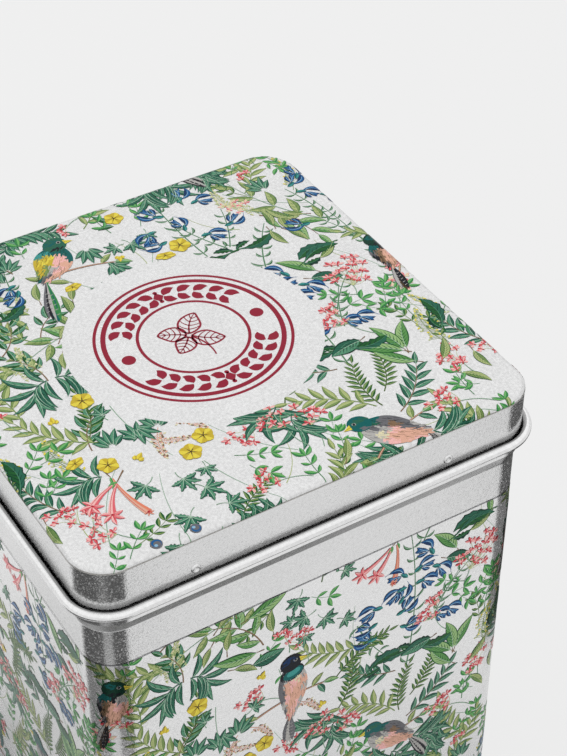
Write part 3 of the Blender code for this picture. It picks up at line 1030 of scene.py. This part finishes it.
# Motif, its level over the sheet, and where each one's root is: across, up, and the turn of its
# growth. The lid's clearing hides the middle of the tile, so that part shows on the walls only.
LAYOUT = (
    ("parrot", 3, ((-9.2, 38.2, 0),)),
    ("thrush", 3, ((-6.2, -5.6, 8),)),
    ("jay", 3, ((12.4, -36, 180),)),
    ("wren", 3, ((44.4, 7.6, 4),)),
    ("perch", 2, ((-9, 28.4, -8), (-6.4, -15.8, 6), (17, -42, 24))),
    ("rod", 2, ((44, -1, 60),)),
    ("salvia", 2, (
        (13.5, 35.4, 150), (17.8, 38.2, 40), (20, 36.4, 10), (9.6, 32, 200), (10, 28, 190),
        (14.6, 29, 75), (16.4, 26, -10), (22, 26.6, 8), (37, 18.8, 172), (39.5, 31.5, 25),
        (40, 29, -20), (42.5, 33, 60), (43.6, 26, -30), (24.4, 6, 120), (24.2, 3, -30),
        (-21, 30.6, 200), (-21.4, 29, 240), (18.8, 3, 140), (20.2, 3.4, 30), (18.8, 0.4, 188),
        (20.6, 0.4, -6), (13.6, -2.2, 170), (12.6, -5.6, 196), (17, -3.4, 60), (12.6, -9.6, 176),
        (17.6, -9.4, -25), (24.4, -11, 0), (16.6, -6, 20), (27, -10.6, -8))),
    ("sage", 0, ((19.6, -22, 91), (14.2, 19.6, 88), (41, -8, 89))),
    ("sagelet", 0, (
        (18.8, 20, 112), (19.4, 20, 68), (22, 11, 60), (41, 18, 100), (25, -12, 62), (8, -4, -60),
        (26, -8, 48), (43, 8, 110), (-23, 24, 80))),
    ("yellow", 3, (
        (4.6, 40, 0), (11.4, 25.6, 30), (-15.8, -27, 20), (-29.4, -22.6, 10), (-25.6, -5.6, 50),
        (-12, -24.4, 70))),
    ("tilted", 3, ((7.4, 24, -10), (-34, -19.4, 20), (-12.2, 24.4, 10))),
    ("bud", 3, ((-25, -24.4, 40), (-32.6, -9, 80), (1, -22, 110), (-13, -6.5, 60), (0, 29, 250))),
    ("fan", 2, (
        (-28.4, 2.6, 222), (-26.8, 2.6, 316), (-31.6, -24.6, 188), (2.4, -24.6, 198),
        (4, -27.6, 262), (14.6, -44, 196), (22.4, -44, 352), (24, -46, 300), (16, 46, 236),
        (17.4, 46, 296), (29, 46.4, 250))),
    ("comb", 1, ((-19, 44, -12), (-8, 46, 206))),
    ("frond", 1, (
        (-27.4, -17, 132), (17.6, -33.6, 146), (-31, 8.6, 163), (-37, -6, 104), (9, -9.6, 154),
        (31, -58, 60), (-26, 14, 110), (-2, -52, 60), (36, -52, 118))),
    ("greenfrond", 1, (
        (20.4, -37, 44), (17.2, -21.6, 150), (-20, 34, 128), (-40, -30, 110), (-38, 20, 70))),
    ("feather", 1, (
        (18.6, -34, 82), (21, -31, 66), (3.6, -15.4, 28), (-29, -15, 74), (-17, -46, 32),
        (4.4, -24.6, 78), (0, 12, 60), (-34, 32, 60))),
    ("column", 1, ((39.6, 19, 116), (-14, 13.4, 200), (-38, 42, 300))),
    ("bough", 1, ((-12, 2.6, 136), (29.6, 26, -60))),
    ("twig", 1, (
        (-28.2, 2.4, 112), (-24, 14, 40), (-32.4, 12.6, 60), (-30, -18, 60), (0, 17, 160))),
    ("lances", 2, (
        (-26.6, -19, 84), (-21.6, -19.4, 96), (-17.6, -18.4, 70), (-21, -16.6, -70),
        (-23, 32, 120), (-4.6, 34, 262), (-2.6, 27, 285), (-20.6, 35, 60), (35, -59, 100))),
    ("blades", 1, ((29.4, 44, 265), (-35, 26, 200), (4, -54, 120))),
    ("maple", 2, (
        (-4, 12.4, 250), (0, 14.6, 20), (-1, 5.6, 200), (-0.6, 4, 310), (-24.4, -29, 214),
        (-20.6, -30, 280), (-19.6, -34, 310), (-22, -39, 226), (-18.6, -40.4, 340),
        (-27, -43, 250), (2.6, 33, 296), (-20, -45, 270))),
    ("maplet", 2, (
        (3, 13, -20), (-4.6, 4.6, 158), (3.4, 0.6, 330), (-3, 1.6, 262), (-15.4, -30, 262),
        (2.4, 31.6, 190), (-24, -12.4, 100), (-16, -14, 30), (8, 34, 260))),
    ("cluster", 2, (
        (-5, 0.4, 108), (24.4, -9, 120), (-14.6, -10.8, 150), (0.6, -27, 100), (5.8, -29, 80),
        (-6.6, -28, 200), (28.4, -38.6, 150), (37, -28.6, 100), (-41.6, -30, 120), (-38, -36, 140),
        (-9, -40, 160), (-40.6, 0, 110))),
    ("posy", 3, (
        (-5.6, 42, 200), (25.4, -6.6, 110), (-7.6, 3, 100), (33.6, 39.6, 90), (-37, -32, 60),
        (36, -32, 80))),
    ("umbel", 3, ((34.6, 1.8, 70),)),
    ("may", 1, ((41, -6.6, 60), (27, 31, 120), (-31, 37, 60))),
    ("trumpets", 3, ((-30, -27, 222), (15, 13, 226))),
    ("flute", 2, ((-30.4, -25.4, 278), (16, 13.4, 268))),
    ("blade", 2, (
        (29.6, 5, 132), (-13.4, 1.4, 168), (30.6, -23, 104), (31.2, -23, 62), (30.2, -23.4, 146),
        (30.4, -27, 128), (-15, 11, 24))),
    ("shade", 2, ((-14.2, -1.4, 6), (27.4, 3.4, -22), (25, -17, 190))),
    ("slip", 2, (
        (28.8, 20.6, 280), (31.8, 19, 290), (32.4, 8, 34), (-18, -0.4, -30), (35, -29, 56),
        (35.6, -34, -54), (41, -30, -86), (-10, 5, 92), (30.4, 22, 88), (34.6, 22, 118),
        (-17.6, 14, 110), (-19.4, 24, 70), (-16, 17.4, 84))),
    ("dart", 2, (
        (-14, 21, 62), (-12, 26, 150), (-21, 12, 40), (-22.6, 8, 250), (-19.4, 5.4, 80),
        (33, 24, 260), (37.4, 22, 140), (6, -42, 60), (-10, 18, 20), (8.6, 18, 300))),
    ("ribbon", 2, (
        (19.4, 18.4, 172), (20, 18.6, 6), (28.4, 8, 16), (37.4, 11, 186), (20.6, -17, 168),
        (21, -17, -10), (30.6, -21, 150), (40, -22, 80), (9.6, -19, 20), (-30, 22, 20))),
    ("sprig", 2, (
        (-43, -18, 44), (-42.6, -26, 60), (-41, -46, 52), (-36.6, -44, 46), (-10, -31.6, -24),
        (0, -45, 88), (6, -42, 70), (32.6, -5.4, 150), (34, -12, 60), (37.6, -16, 84),
        (39.4, -12, 96), (34, -40, 84), (38, -50, 92), (2, 36, 96), (8, 35, 70), (32, 41, 50),
        (42.6, 36, 100), (-12.6, -3.4, 60))),
    ("cress", 2, (
        (-39, -16.6, 20), (-40.4, -24, 40), (7, -36, 60), (28, -7.6, 10), (31, -8, -50),
        (36.6, -38, 150), (-9, -35, -60), (13.4, -42, 140), (9, 41, 100), (40, 42, -70),
        (-40, 9.6, 60), (-16, 37.4, 80), (38, -9, 20))),
    ("mossy", 1, (
        (36.6, -20, 100), (38.6, -26, 82), (6, -8, -20), (31, 33, 120), (-35, -42, 20),
        (4, 43, 80), (-38, 13, 80), (25, 40, 60), (12, -47, 60), (-9, 12, 220))),
    ("plume", 1, ((-30, 3.4, 124), (-28, 5, 96), (30, 26, 128), (27, 30, 96), (-25.6, 20, 70))),
    ("brush", 1, ((-15, -18, -50), (-17.6, -18.6, 254), (-5, -17, -48), (-20, -20.6, -24))),
    ("yarrow", 1, ((38.6, -27, 88), (41.4, -22, 96), (-33.6, -24, 100), (40, -62, 80))),
    ("stalk", 0, (
        (-8, 21, 118), (-15, -30, -64), (0, -36, 126), (42, -4, 116), (32, -8, -42),
        (12, -47, 118), (-38, -40, 60), (30, -42, -22), (9, -14, 96), (27, 36, -40),
        (-12, 46, -70), (-22, -8, -80), (-26, -46, 80), (0, 18, 60))),
    ("wisp", 0, (
        (-6, -42, 60), (36, -6, -70), (21, -42, 10), (-40, -36, 70), (7, -20, 80), (24, 24, 130),
        (-10, 34, 80), (-2, 46, -60), (3, 22, 100), (38, 4, 110))),
    ("berry", 3, ((-31.4, -43.2, 0), (-24.2, -43.4, 0))),
)
FILLERS = ("sprig", "cress", "wisp")
TRUE_SIZE = ("parrot", "thrush", "wren", "perch", "jay")
MOTIF_SIZES = {"salvia": 1.03, "sprig": 0.8, "cress": 0.8, "blade": 0.85, "umbel": 0.94}
MOTIF_SIZE = 0.87
SIZE_SPREAD = 0.16
FILL_REACH = 4
TILE_COLUMNS, TILE_ROWS = range(-2, 3), range(-3, 3)


def coverage_of(art, cells):
    """How much ink is in each cell of the tile, smoothed over its neighbours."""
    triangles = art.merged()[0]
    middle = triangles.mean(axis=1)
    size = np.abs(signed_area(triangles)) / 2
    index = [np.floor(middle[:, i] / TILE[i] * cells[i]).astype(int) % cells[i] for i in (0, 1)]
    grid = np.zeros(cells)
    np.add.at(grid, tuple(index), size)
    soft = np.zeros(cells)
    for i in range(-FILL_REACH, FILL_REACH + 1):
        for j in range(-FILL_REACH, FILL_REACH + 1):
            soft += np.roll(grid, (i, j), axis=(0, 1)) / (2 + i * i + j * j)
    return soft


def draw_tile():
    """The tiles of the lid and the walls: the layout, and then fillers where it is still bare."""
    book = motif_book()
    art, wall_art = Print(), Print()
    count = 0
    for name, level, places in LAYOUT:
        for x, y, turn in places:
            height = level * LEVEL_STEP + count * GOLDEN % 1 * MOTIF_STEP
            plain = name in TRUE_SIZE
            varied = MOTIF_SIZES.get(name, MOTIF_SIZE) + SIZE_SPREAD * (count * GOLDEN % 1)
            size = 1.0 if plain else varied
            flip = name == "jay" or not plain and count % 2 == 1
            drawn = wall_art if name == "thrush" else art  # its tail would show in the clearing
            drawn.stamp(book[name], (x, y), turn, size, flip, height)
            count += 1
    dice = np.random.default_rng(21)
    cells = tuple(int(side) for side in TILE)
    for name in FILLERS:
        soft = coverage_of(art, cells)
        i, j = np.unravel_index(np.argmin(soft + dice.uniform(0, 0.2, cells)), cells)
        place = ((i + 0.5) / cells[0] * TILE[0], (j + 0.5) / cells[1] * TILE[1])
        turn = dice.uniform(0, 360)
        root = np.subtract(place, polar(4.0, turn))
        height = count * GOLDEN % 1 * MOTIF_STEP
        art.stamp(book[name], root, turn, dice.uniform(0.75, 1.0), height=height)
        count += 1
    lid_tile = art.merged()
    return lid_tile, joined([lid_tile, wall_art.merged()])


# --- Print on the sheets ------------------------------------------------------------------------

def repeated(tile, low, high):
    """The tile's shapes repeated over the rectangle from low to high."""
    triangles, inks, heights = facing_up(tile)
    least, most = triangles.min(axis=1), triangles.max(axis=1)
    kept = []
    for i in TILE_COLUMNS:
        for j in TILE_ROWS:
            shift = np.array([i * TILE[0], j * TILE[1]])
            inside = ((most + shift > low) & (least + shift < high)).all(axis=1)
            kept.append((triangles[inside] + shift, inks[inside], heights[inside]))
    return joined(kept)


def refined(shapes, zone, longest):
    """Halves the longest side of every triangle in a zone until none is over the given length."""
    triangles, inks, heights = shapes
    for _ in range(12):
        sides = np.linalg.norm(triangles - np.roll(triangles, -1, axis=1), axis=2)
        split = zone(triangles) & (sides.max(axis=1) > longest)
        if not split.any():
            break
        cut, at_side = triangles[split], sides[split].argmax(axis=1)
        rows = np.arange(len(cut))
        a, b, c = (cut[rows, (at_side + k) % 3] for k in range(3))
        middle = (a + b) / 2
        parts = [(triangles[~split], inks[~split], heights[~split])]
        for half in ((a, middle, c), (middle, b, c)):
            parts.append((np.stack(half, axis=1), inks[split], heights[split]))
        triangles, inks, heights = joined(parts)
    return triangles, inks, heights


def clipped(shapes, field):
    """Keeps what lies where the field is positive, cutting triangles along its zero line."""
    triangles, inks, heights = shapes
    values = field(triangles)
    above = values > 0
    count = above.sum(axis=1)
    pieces = [(triangles[count == 3], inks[count == 3], heights[count == 3])]
    for wanted in (1, 2):
        chosen = count == wanted
        corner, value = triangles[chosen], values[chosen]
        odd = above[chosen].argmax(axis=1) if wanted == 1 else above[chosen].argmin(axis=1)
        rows = np.arange(len(corner))
        a, b, c = (corner[rows, (odd + k) % 3] for k in range(3))
        va, vb, vc = (value[rows, (odd + k) % 3][:, None] for k in range(3))
        ab = a + (b - a) * va / (va - vb)
        ac = a + (c - a) * va / (va - vc)
        for made in ((a, ab, ac),) if wanted == 1 else ((ab, b, c), (ab, c, ac)):
            pieces.append((np.stack(made, axis=1), inks[chosen], heights[chosen]))
    return joined(pieces)


def half_width(points):
    """The half-width of the level loop through each artwork point of the lid."""
    over = np.abs(points) - CORNER_CENTRE
    corner = np.hypot(*np.moveaxis(over.clip(0), -1, 0))
    return CORNER_CENTRE + np.where((over > 0).all(axis=-1), corner, over.max(axis=-1))


LID_FLAT = LID - SHOULDER
LID_PRINT_REACH = 1.62  # how far the print runs down round the shoulder
SHOULDER_BAND = 0.3  # the print is cut fine from this far inside the shoulder
LONGEST_AT_SHOULDER = 0.3
LONGEST_AT_CORNER = 0.7
LONGEST_AT_CLEARING = 0.7
CLEARING_BAND = 2.0


def lifted(heights, extra=0.0):
    """The height over the sheet of each corner of each triangle."""
    return np.repeat(heights[:, None] + INK_GAP + extra, 3, axis=1)


def onto_lid(points, heights):
    """Wraps artwork points over the lid's flat top and rounded shoulder."""
    half = half_width(points)
    turn = ((half - LID_FLAT) / SHOULDER).clip(0)
    over = np.abs(points) - CORNER_CENTRE
    in_corner = (over > 0).all(axis=-1)[..., None]
    widest = over >= over.max(axis=-1, keepdims=True)
    way = np.where(in_corner, over.clip(0), widest * 1.0)
    way /= np.linalg.norm(way, axis=-1, keepdims=True)
    way *= np.sign(points)
    reach = np.where(turn > 0, LID_FLAT + (SHOULDER + heights) * np.sin(turn), half)
    level = points + way * (reach - half)[..., None]
    z = TOP_Z - SHOULDER + (SHOULDER + heights) * np.cos(turn)
    normals = np.concatenate([way * np.sin(turn)[..., None], np.cos(turn)[..., None]], axis=-1)
    return np.concatenate([level, z[..., None]], axis=-1), normals


def onto_wall(points, heights, quarter):
    """Wraps artwork points round one quarter of the wall, a face between two half corners."""
    across, up = points[..., 0], points[..., 1]
    radius = WALL - CORNER_CENTRE
    turn = np.sign(across) * ((np.abs(across) - CORNER_CENTRE).clip(0) / radius)
    flat = np.clip(across, -CORNER_CENTRE, CORNER_CENTRE)
    x = flat + (radius + heights) * np.sin(turn)
    y = -CORNER_CENTRE - (radius + heights) * np.cos(turn)
    z = up + WALL_PRINT_LIFT
    normals = np.stack([np.sin(turn), -np.cos(turn), np.zeros_like(turn)], axis=-1)
    placed = np.stack([x, y, z], axis=-1)
    cos, sin = math.cos(quarter * math.pi / 2), math.sin(quarter * math.pi / 2)
    spin = np.array([[cos, sin, 0], [-sin, cos, 0], [0, 0, 1]])
    return placed @ spin, normals @ spin


def srgb(colour):
    share = np.array(colour) / 255
    return np.where(share <= 0.04045, share / 12.92, ((share + 0.055) / 1.055) ** 2.4)


def ink_material(name, colour):
    made, _, shader = new_material(name)
    shader.inputs["Base Color"].default_value = (*(srgb(colour) * INK_STRENGTH), 1)
    shader.inputs["Metallic"].default_value = INK_METALLIC
    shader.inputs["Roughness"].default_value = INK_ROUGHNESS
    shader.inputs["Specular IOR Level"].default_value = INK_GLOSS
    return made


def print_mesh(name, points, normals, inks, materials):
    """One piece of print from loose triangles, welded where corners of one ink and height meet."""
    flat = points.reshape(-1, 3) * MM
    keys = np.column_stack([np.round(flat * 1e8).astype(np.int64), np.repeat(inks, 3)])
    _, first, index = np.unique(keys, axis=0, return_index=True, return_inverse=True)
    faces = index.reshape(-1, 3)
    whole = (faces != np.roll(faces, -1, axis=1)).all(axis=1)
    faces, inks = faces[whole], inks[whole]
    mesh = bpy.data.meshes.new(name)
    mesh.vertices.add(len(first))
    mesh.vertices.foreach_set("co", flat[first].astype(np.float32).ravel())
    mesh.loops.add(faces.size)
    mesh.loops.foreach_set("vertex_index", faces.ravel().astype(np.int32))
    mesh.polygons.add(len(faces))
    mesh.polygons.foreach_set("loop_start", np.arange(0, faces.size, 3, dtype=np.int32))
    used = np.unique(inks)
    for ink in used:
        mesh.materials.append(materials[ink])
    mesh.polygons.foreach_set("material_index", np.searchsorted(used, inks).astype(np.int32))
    mesh.update()
    mesh.shade_smooth()
    mesh.normals_split_custom_set_from_vertices(normals.reshape(-1, 3)[first].tolist())
    return linked(name, mesh)


def make_lid_print(tile, materials):
    def past_clearing(points):
        return np.hypot(points[..., 0], points[..., 1]) - CLEARING

    def near_shoulder(triangles):
        return half_width(triangles).max(axis=1) > LID_FLAT - SHOULDER_BAND

    def near_clearing(triangles):
        return np.abs(past_clearing(triangles)).min(axis=1) < CLEARING_BAND

    edge = LID_FLAT + LID_PRINT_REACH
    shapes = repeated(tile, (-edge, -edge), (edge, edge))
    shapes = refined(shapes, near_shoulder, LONGEST_AT_SHOULDER)
    shapes = clipped(shapes, lambda points: edge - half_width(points))
    shapes = refined(shapes, near_clearing, LONGEST_AT_CLEARING)
    triangles, inks, heights = clipped(shapes, past_clearing)
    points, normals = onto_lid(triangles, lifted(heights))
    made = print_mesh("lid_print", points, normals, inks, materials)
    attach(made, "lid")


def make_wall_prints(tile, materials):
    half = TILE[0] / 2
    low, high = WALL_PRINT_FOOT_Z - WALL_PRINT_LIFT, COAT_TOP_Z - WALL_PRINT_LIFT
    shapes = repeated(tile, (-half, low), (half, high))
    shapes = refined(shapes, lambda t: np.abs(t[..., 0]).max(axis=1) > CORNER_CENTRE,
                     LONGEST_AT_CORNER)
    for field in (lambda t: half - t[..., 0], lambda t: t[..., 0] + half,
                  lambda t: t[..., 1] - low, lambda t: high - t[..., 1]):
        shapes = clipped(shapes, field)
    triangles, inks, heights = shapes
    for quarter, side in enumerate(("front", "right", "back", "left")):
        points, normals = onto_wall(triangles, lifted(heights), quarter)
        made = print_mesh(f"wall_print_{side}", points, normals, inks, materials)
        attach(made, "can")


def ring(art, radius, width, ink, steps=160):
    angle = np.linspace(0, 2 * math.pi, steps + 1)
    around = np.stack([np.cos(angle), np.sin(angle)], axis=1)
    art.add(ribbon(around * (radius - width / 2), around * (radius + width / 2)), ink)


def wreath_arc(art, middle):
    """Bold leaves in pairs either side of a diamond, where the emblem has its band."""
    for side in (-1, 1):
        for k in range(WREATH_PAIRS):
            aim = middle + side * (9 + WREATH_STEP * k)
            for out in (-1, 1):
                root = polar(EMBLEM_BAND + out * 0.12, aim - side * 4.4)
                tip = polar(EMBLEM_BAND + out * 1.72, aim + side * 5.8)
                edges = bow(root, tip, -0.16 * out * side, 10)
                reach = 0.92 * np.sin(np.pi * np.linspace(0, 1, 11) ** 0.9)[:, None]
                across = left_of(edges) * reach
                art.add(ribbon(edges + across, edges - across), "crimson")
    blob(art, polar(EMBLEM_BAND, middle), (1.5, 1.08), "crimson", turn=middle, sides=4)
    for out in (-1.45, 1.45):
        blob(art, polar(EMBLEM_BAND + out, middle), (0.45, 0.45), "crimson", turn=middle)


def emblem_leaf(art, root, tip, width, lean):
    """A line-drawn leaf: its outline, its midrib and its side veins."""
    middle = bow(root, tip, lean, 12)
    t = np.linspace(0, 1, 13)
    across = left_of(middle) * (width / 2 * np.sin(np.pi * t ** 0.8) ** 0.8)[:, None]
    for side in (1, -1):
        stroke(art, middle + side * across, EMBLEM_LINE, "crimson", end=0.9)
        for t in (0.2, 0.38, 0.56, 0.72):
            end = at(middle, t + 0.16) + 0.9 * side * at(across, t + 0.16)
            vein = bow(at(middle, t), end, 0.08 * side, 4)
            stroke(art, vein, EMBLEM_VEIN, "crimson", end=0.7)
    stroke(art, middle, EMBLEM_RIB, "crimson", end=0.4)


def draw_emblem():
    """Concentric rings, a wreath in two arcs, two dots and a line-drawn sprig of four leaves."""
    art = Print()
    for radius, width in EMBLEM_RINGS:
        ring(art, radius, width, "crimson")
    for side in (-1, 1):
        blob(art, (side * EMBLEM_BAND, 0), (EMBLEM_DOT, EMBLEM_DOT), "crimson", sides=32)
        wreath_arc(art, side * 90)
    heart = np.array((-0.6, 0.6))
    for turn, length, width, lean in EMBLEM_LEAVES:
        emblem_leaf(art, heart + polar(0.5, turn), heart + polar(length, turn), width, lean)
    stroke(art, bow(heart + (0.3, -0.6), (1.0, -6.6), 0.1, 10), EMBLEM_LINE, "crimson", end=0.7)
    return art.merged()


def make_emblem(materials):
    triangles, inks, heights = facing_up(draw_emblem())
    points, normals = onto_lid(triangles, lifted(heights))
    made = print_mesh("lid_emblem", points, normals, inks, materials)
    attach(made, "lid")


def outline(line, ink):
    """A fine line of ink, facing outward and lifted over all other inks."""
    art = Print()
    stroke(art, line, PRINT_LINE, ink, 0, end=1.0)
    triangles, inks, heights = facing_up(art.merged())
    return triangles, inks, lifted(heights, PRINT_LINE_LEVEL * LEVEL_STEP)


def make_print_lines(materials):
    """The fine lines where the print ends: dark under the walls' bare band, pale round the lid."""
    half = TILE[0] / 2
    across = np.linspace(-half, half, PRINT_LINE_POINTS)
    level = np.full(len(across), COAT_TOP_Z - WALL_PRINT_LIFT - PRINT_LINE / 2)
    triangles, inks, heights = outline(np.stack([across, level], axis=1), "slate")
    points, normals = joined([onto_wall(triangles, heights, quarter) for quarter in range(4)])
    made = print_mesh("print_edge_line", points, normals, np.tile(inks, 4), materials)
    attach(made, "can")
    loop = level_loop(LID_FLAT + LID_PRINT_REACH - PRINT_LINE / 2, 0)[:, :2]
    triangles, inks, heights = outline(np.vstack([loop, loop[:1]]), "dove")
    made = print_mesh("lid_edge_line", *onto_lid(triangles, heights), inks, materials)
    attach(made, "lid")


def make_print():
    materials = [ink_material(f"ink_{name}", colour) for name, colour in INKS.items()]
    lid_tile, wall_tile = draw_tile()
    make_lid_print(lid_tile, materials)
    make_wall_prints(wall_tile, materials)
    make_emblem(materials)
    make_print_lines(materials)


# --- Stage --------------------------------------------------------------------------------------

def make_camera():
    turn, rise, roll = CAMERA_TURN, CAMERA_RISE, CAMERA_ROLL
    back = Vector((math.sin(turn) * math.cos(rise), -math.cos(turn) * math.cos(rise),
                   math.sin(rise)))
    level = Vector((math.cos(turn), math.sin(turn), 0))
    upright = back.cross(level)
    right = level * math.cos(roll) + upright * math.sin(roll)
    up = upright * math.cos(roll) - level * math.sin(roll)
    camera = linked("camera", bpy.data.cameras.new("camera"))
    axes = Matrix((right, up, back)).transposed().to_4x4()
    camera.matrix_world = Matrix.Translation(CAMERA_M) @ axes
    camera.data.lens = LENS_MM
    camera.data.sensor_width = SENSOR_MM
    camera.data.clip_start = CLIP_START_M
    bpy.context.scene.camera = camera


def stage_mix(name):
    """A material whose surface mixes two shaders, its tree and the mix's inputs."""
    made = bpy.data.materials.new(name)
    made.use_nodes = True
    tree = made.node_tree
    tree.nodes.clear()
    mix = add_node(tree, "MixShader")
    add_node(tree, "OutputMaterial", {"Surface": mix.outputs[0]})
    return made, tree, mix.inputs


def studio_paint():
    """Most of it glows at the backdrop's level, and the rest is plain matt."""
    made, tree, (share, first, second) = stage_mix("studio_paint")
    share.default_value = PAINT_GLOW
    matt = add_node(tree, "BsdfDiffuse", {"Color": (PAINT, PAINT, PAINT, 1)})
    light = add_node(tree, "Emission", {"Color": (1, 1, 1, 1), "Strength": BACKDROP})
    tree.links.new(matt.outputs[0], first)
    tree.links.new(light.outputs[0], second)
    return made


def gauze(name, level, tones=None):
    """Dark when looked at steeply and clear at a glancing angle. tones: a colour attribute."""
    made, tree, (share, first, second) = stage_mix(name)
    light = add_node(tree, "Emission", {"Color": (1, 1, 1, 1), "Strength": level})
    if tones:
        shade = add_node(tree, "Attribute", attribute_name=tones)
        tree.links.new(shade.outputs["Color"], light.inputs["Color"])
    facing = add_node(tree, "LayerWeight").outputs["Facing"]
    tree.links.new(span(tree, facing, 0, 1, *GAUZE_FADE), share)
    tree.links.new(light.outputs[0], first)
    tree.links.new(add_node(tree, "BsdfTransparent").outputs[0], second)
    return made


def softbox(name, place, size, power):
    lamp = bpy.data.lights.new(name, "AREA")
    lamp.shape = "RECTANGLE"
    lamp.size, lamp.size_y = size
    lamp.energy = power
    made = linked(name, lamp)
    made.location = place
    aim = Vector(LAMP_AIM) - Vector(place)
    made.rotation_euler = aim.to_track_quat("-Z", "Y").to_euler()
    made.visible_glossy = False


def reflected_only(card):
    card.visible_camera = False
    card.visible_diffuse = False
    card.visible_shadow = False


def floor_fan(name, material, centre, turns, reach, height):
    """A card level with the floor between two compass angles. Only reflections see it."""
    bm = bmesh.new()
    start, stop = turns
    angles = [math.radians(start + (stop - start) * i / FAN_STEPS) for i in range(FAN_STEPS + 1)]
    near, far = [[bm.verts.new((centre[0] + r * math.cos(a), centre[1] + r * math.sin(a), height))
                  for a in angles] for r in reach]
    for i in range(FAN_STEPS):
        bm.faces.new((near[i], far[i], far[i + 1], near[i + 1]))
    reflected_only(object_of(name, bm, [material], smooth=False))


def foot_shade():
    """The floor's shade round the foot of the can, from dark to none. Only reflections see it."""
    bm = bmesh.new()
    tone = bm.loops.layers.float_color.new("shade")
    rows = [[bm.verts.new(tuple(point * MM)) for point in level_loop(CHIME_FACE + reach, SHADE_Z)]
            for reach, _ in SHADE_TONES]
    levels = {vert: level * BACKDROP for row, (_, level) in zip(rows, SHADE_TONES) for vert in row}
    for before, after in zip(rows, rows[1:]):
        for i in range(len(before)):
            face = bm.faces.new((before[i - 1], after[i - 1], after[i], before[i]))
            for loop in face.loops:
                loop[tone] = (levels[loop.vert],) * 3 + (1,)
    material = gauze("foot_shade_gauze", 1.0, "shade")
    reflected_only(object_of("foot_shade", bm, [material], smooth=False))


def cyclorama(material):
    """Floor and backdrop in one sweep."""
    bm = bmesh.new()
    bend = arc((STUDIO_REACH - STUDIO_BEND, STUDIO_BEND), STUDIO_BEND, -90, 0, 8)
    spun(bm, [(0.0, 0.0), *bend, (STUDIO_REACH, STUDIO_HEIGHT)], 64, 1.0)
    made = object_of("floor", bm, [material])


def make_stage():
    scene = bpy.context.scene
    scene.view_settings.view_transform = "Standard"
    scene.view_settings.look = "None"
    world = bpy.data.worlds.new("studio")
    world.use_nodes = True
    sky = world.node_tree.nodes["Background"]
    sky.inputs["Color"].default_value = (1, 1, 1, 1)
    sky.inputs["Strength"].default_value = SKY
    scene.world = world
    cyclorama(studio_paint())
    gauzes = {name: gauze(name, level) for name, level in GAUZE_LEVELS.items()}
    for name, (material, *shape) in CARDS.items():
        floor_fan(name, gauzes[material], *shape)
    foot_shade()
    softbox("key", (-0.7, 0.5, 1.0), (0.8, 0.8), 2)


def main():
    make_camera()
    tins = [speckled(name, *look) for name, look in TINS.items()]
    lid_ground, wall_ground, bare, highlight_tin, shade_tin, shadow_tin = tins
    aluminium = turned_metal("spun_aluminium")
    make_can(wall_ground, bare, highlight_tin, shade_tin, shadow_tin)
    make_outer_lid(lid_ground, bare)
    make_inner_lid(bare, aluminium)
    make_print()
    make_stage()


main()
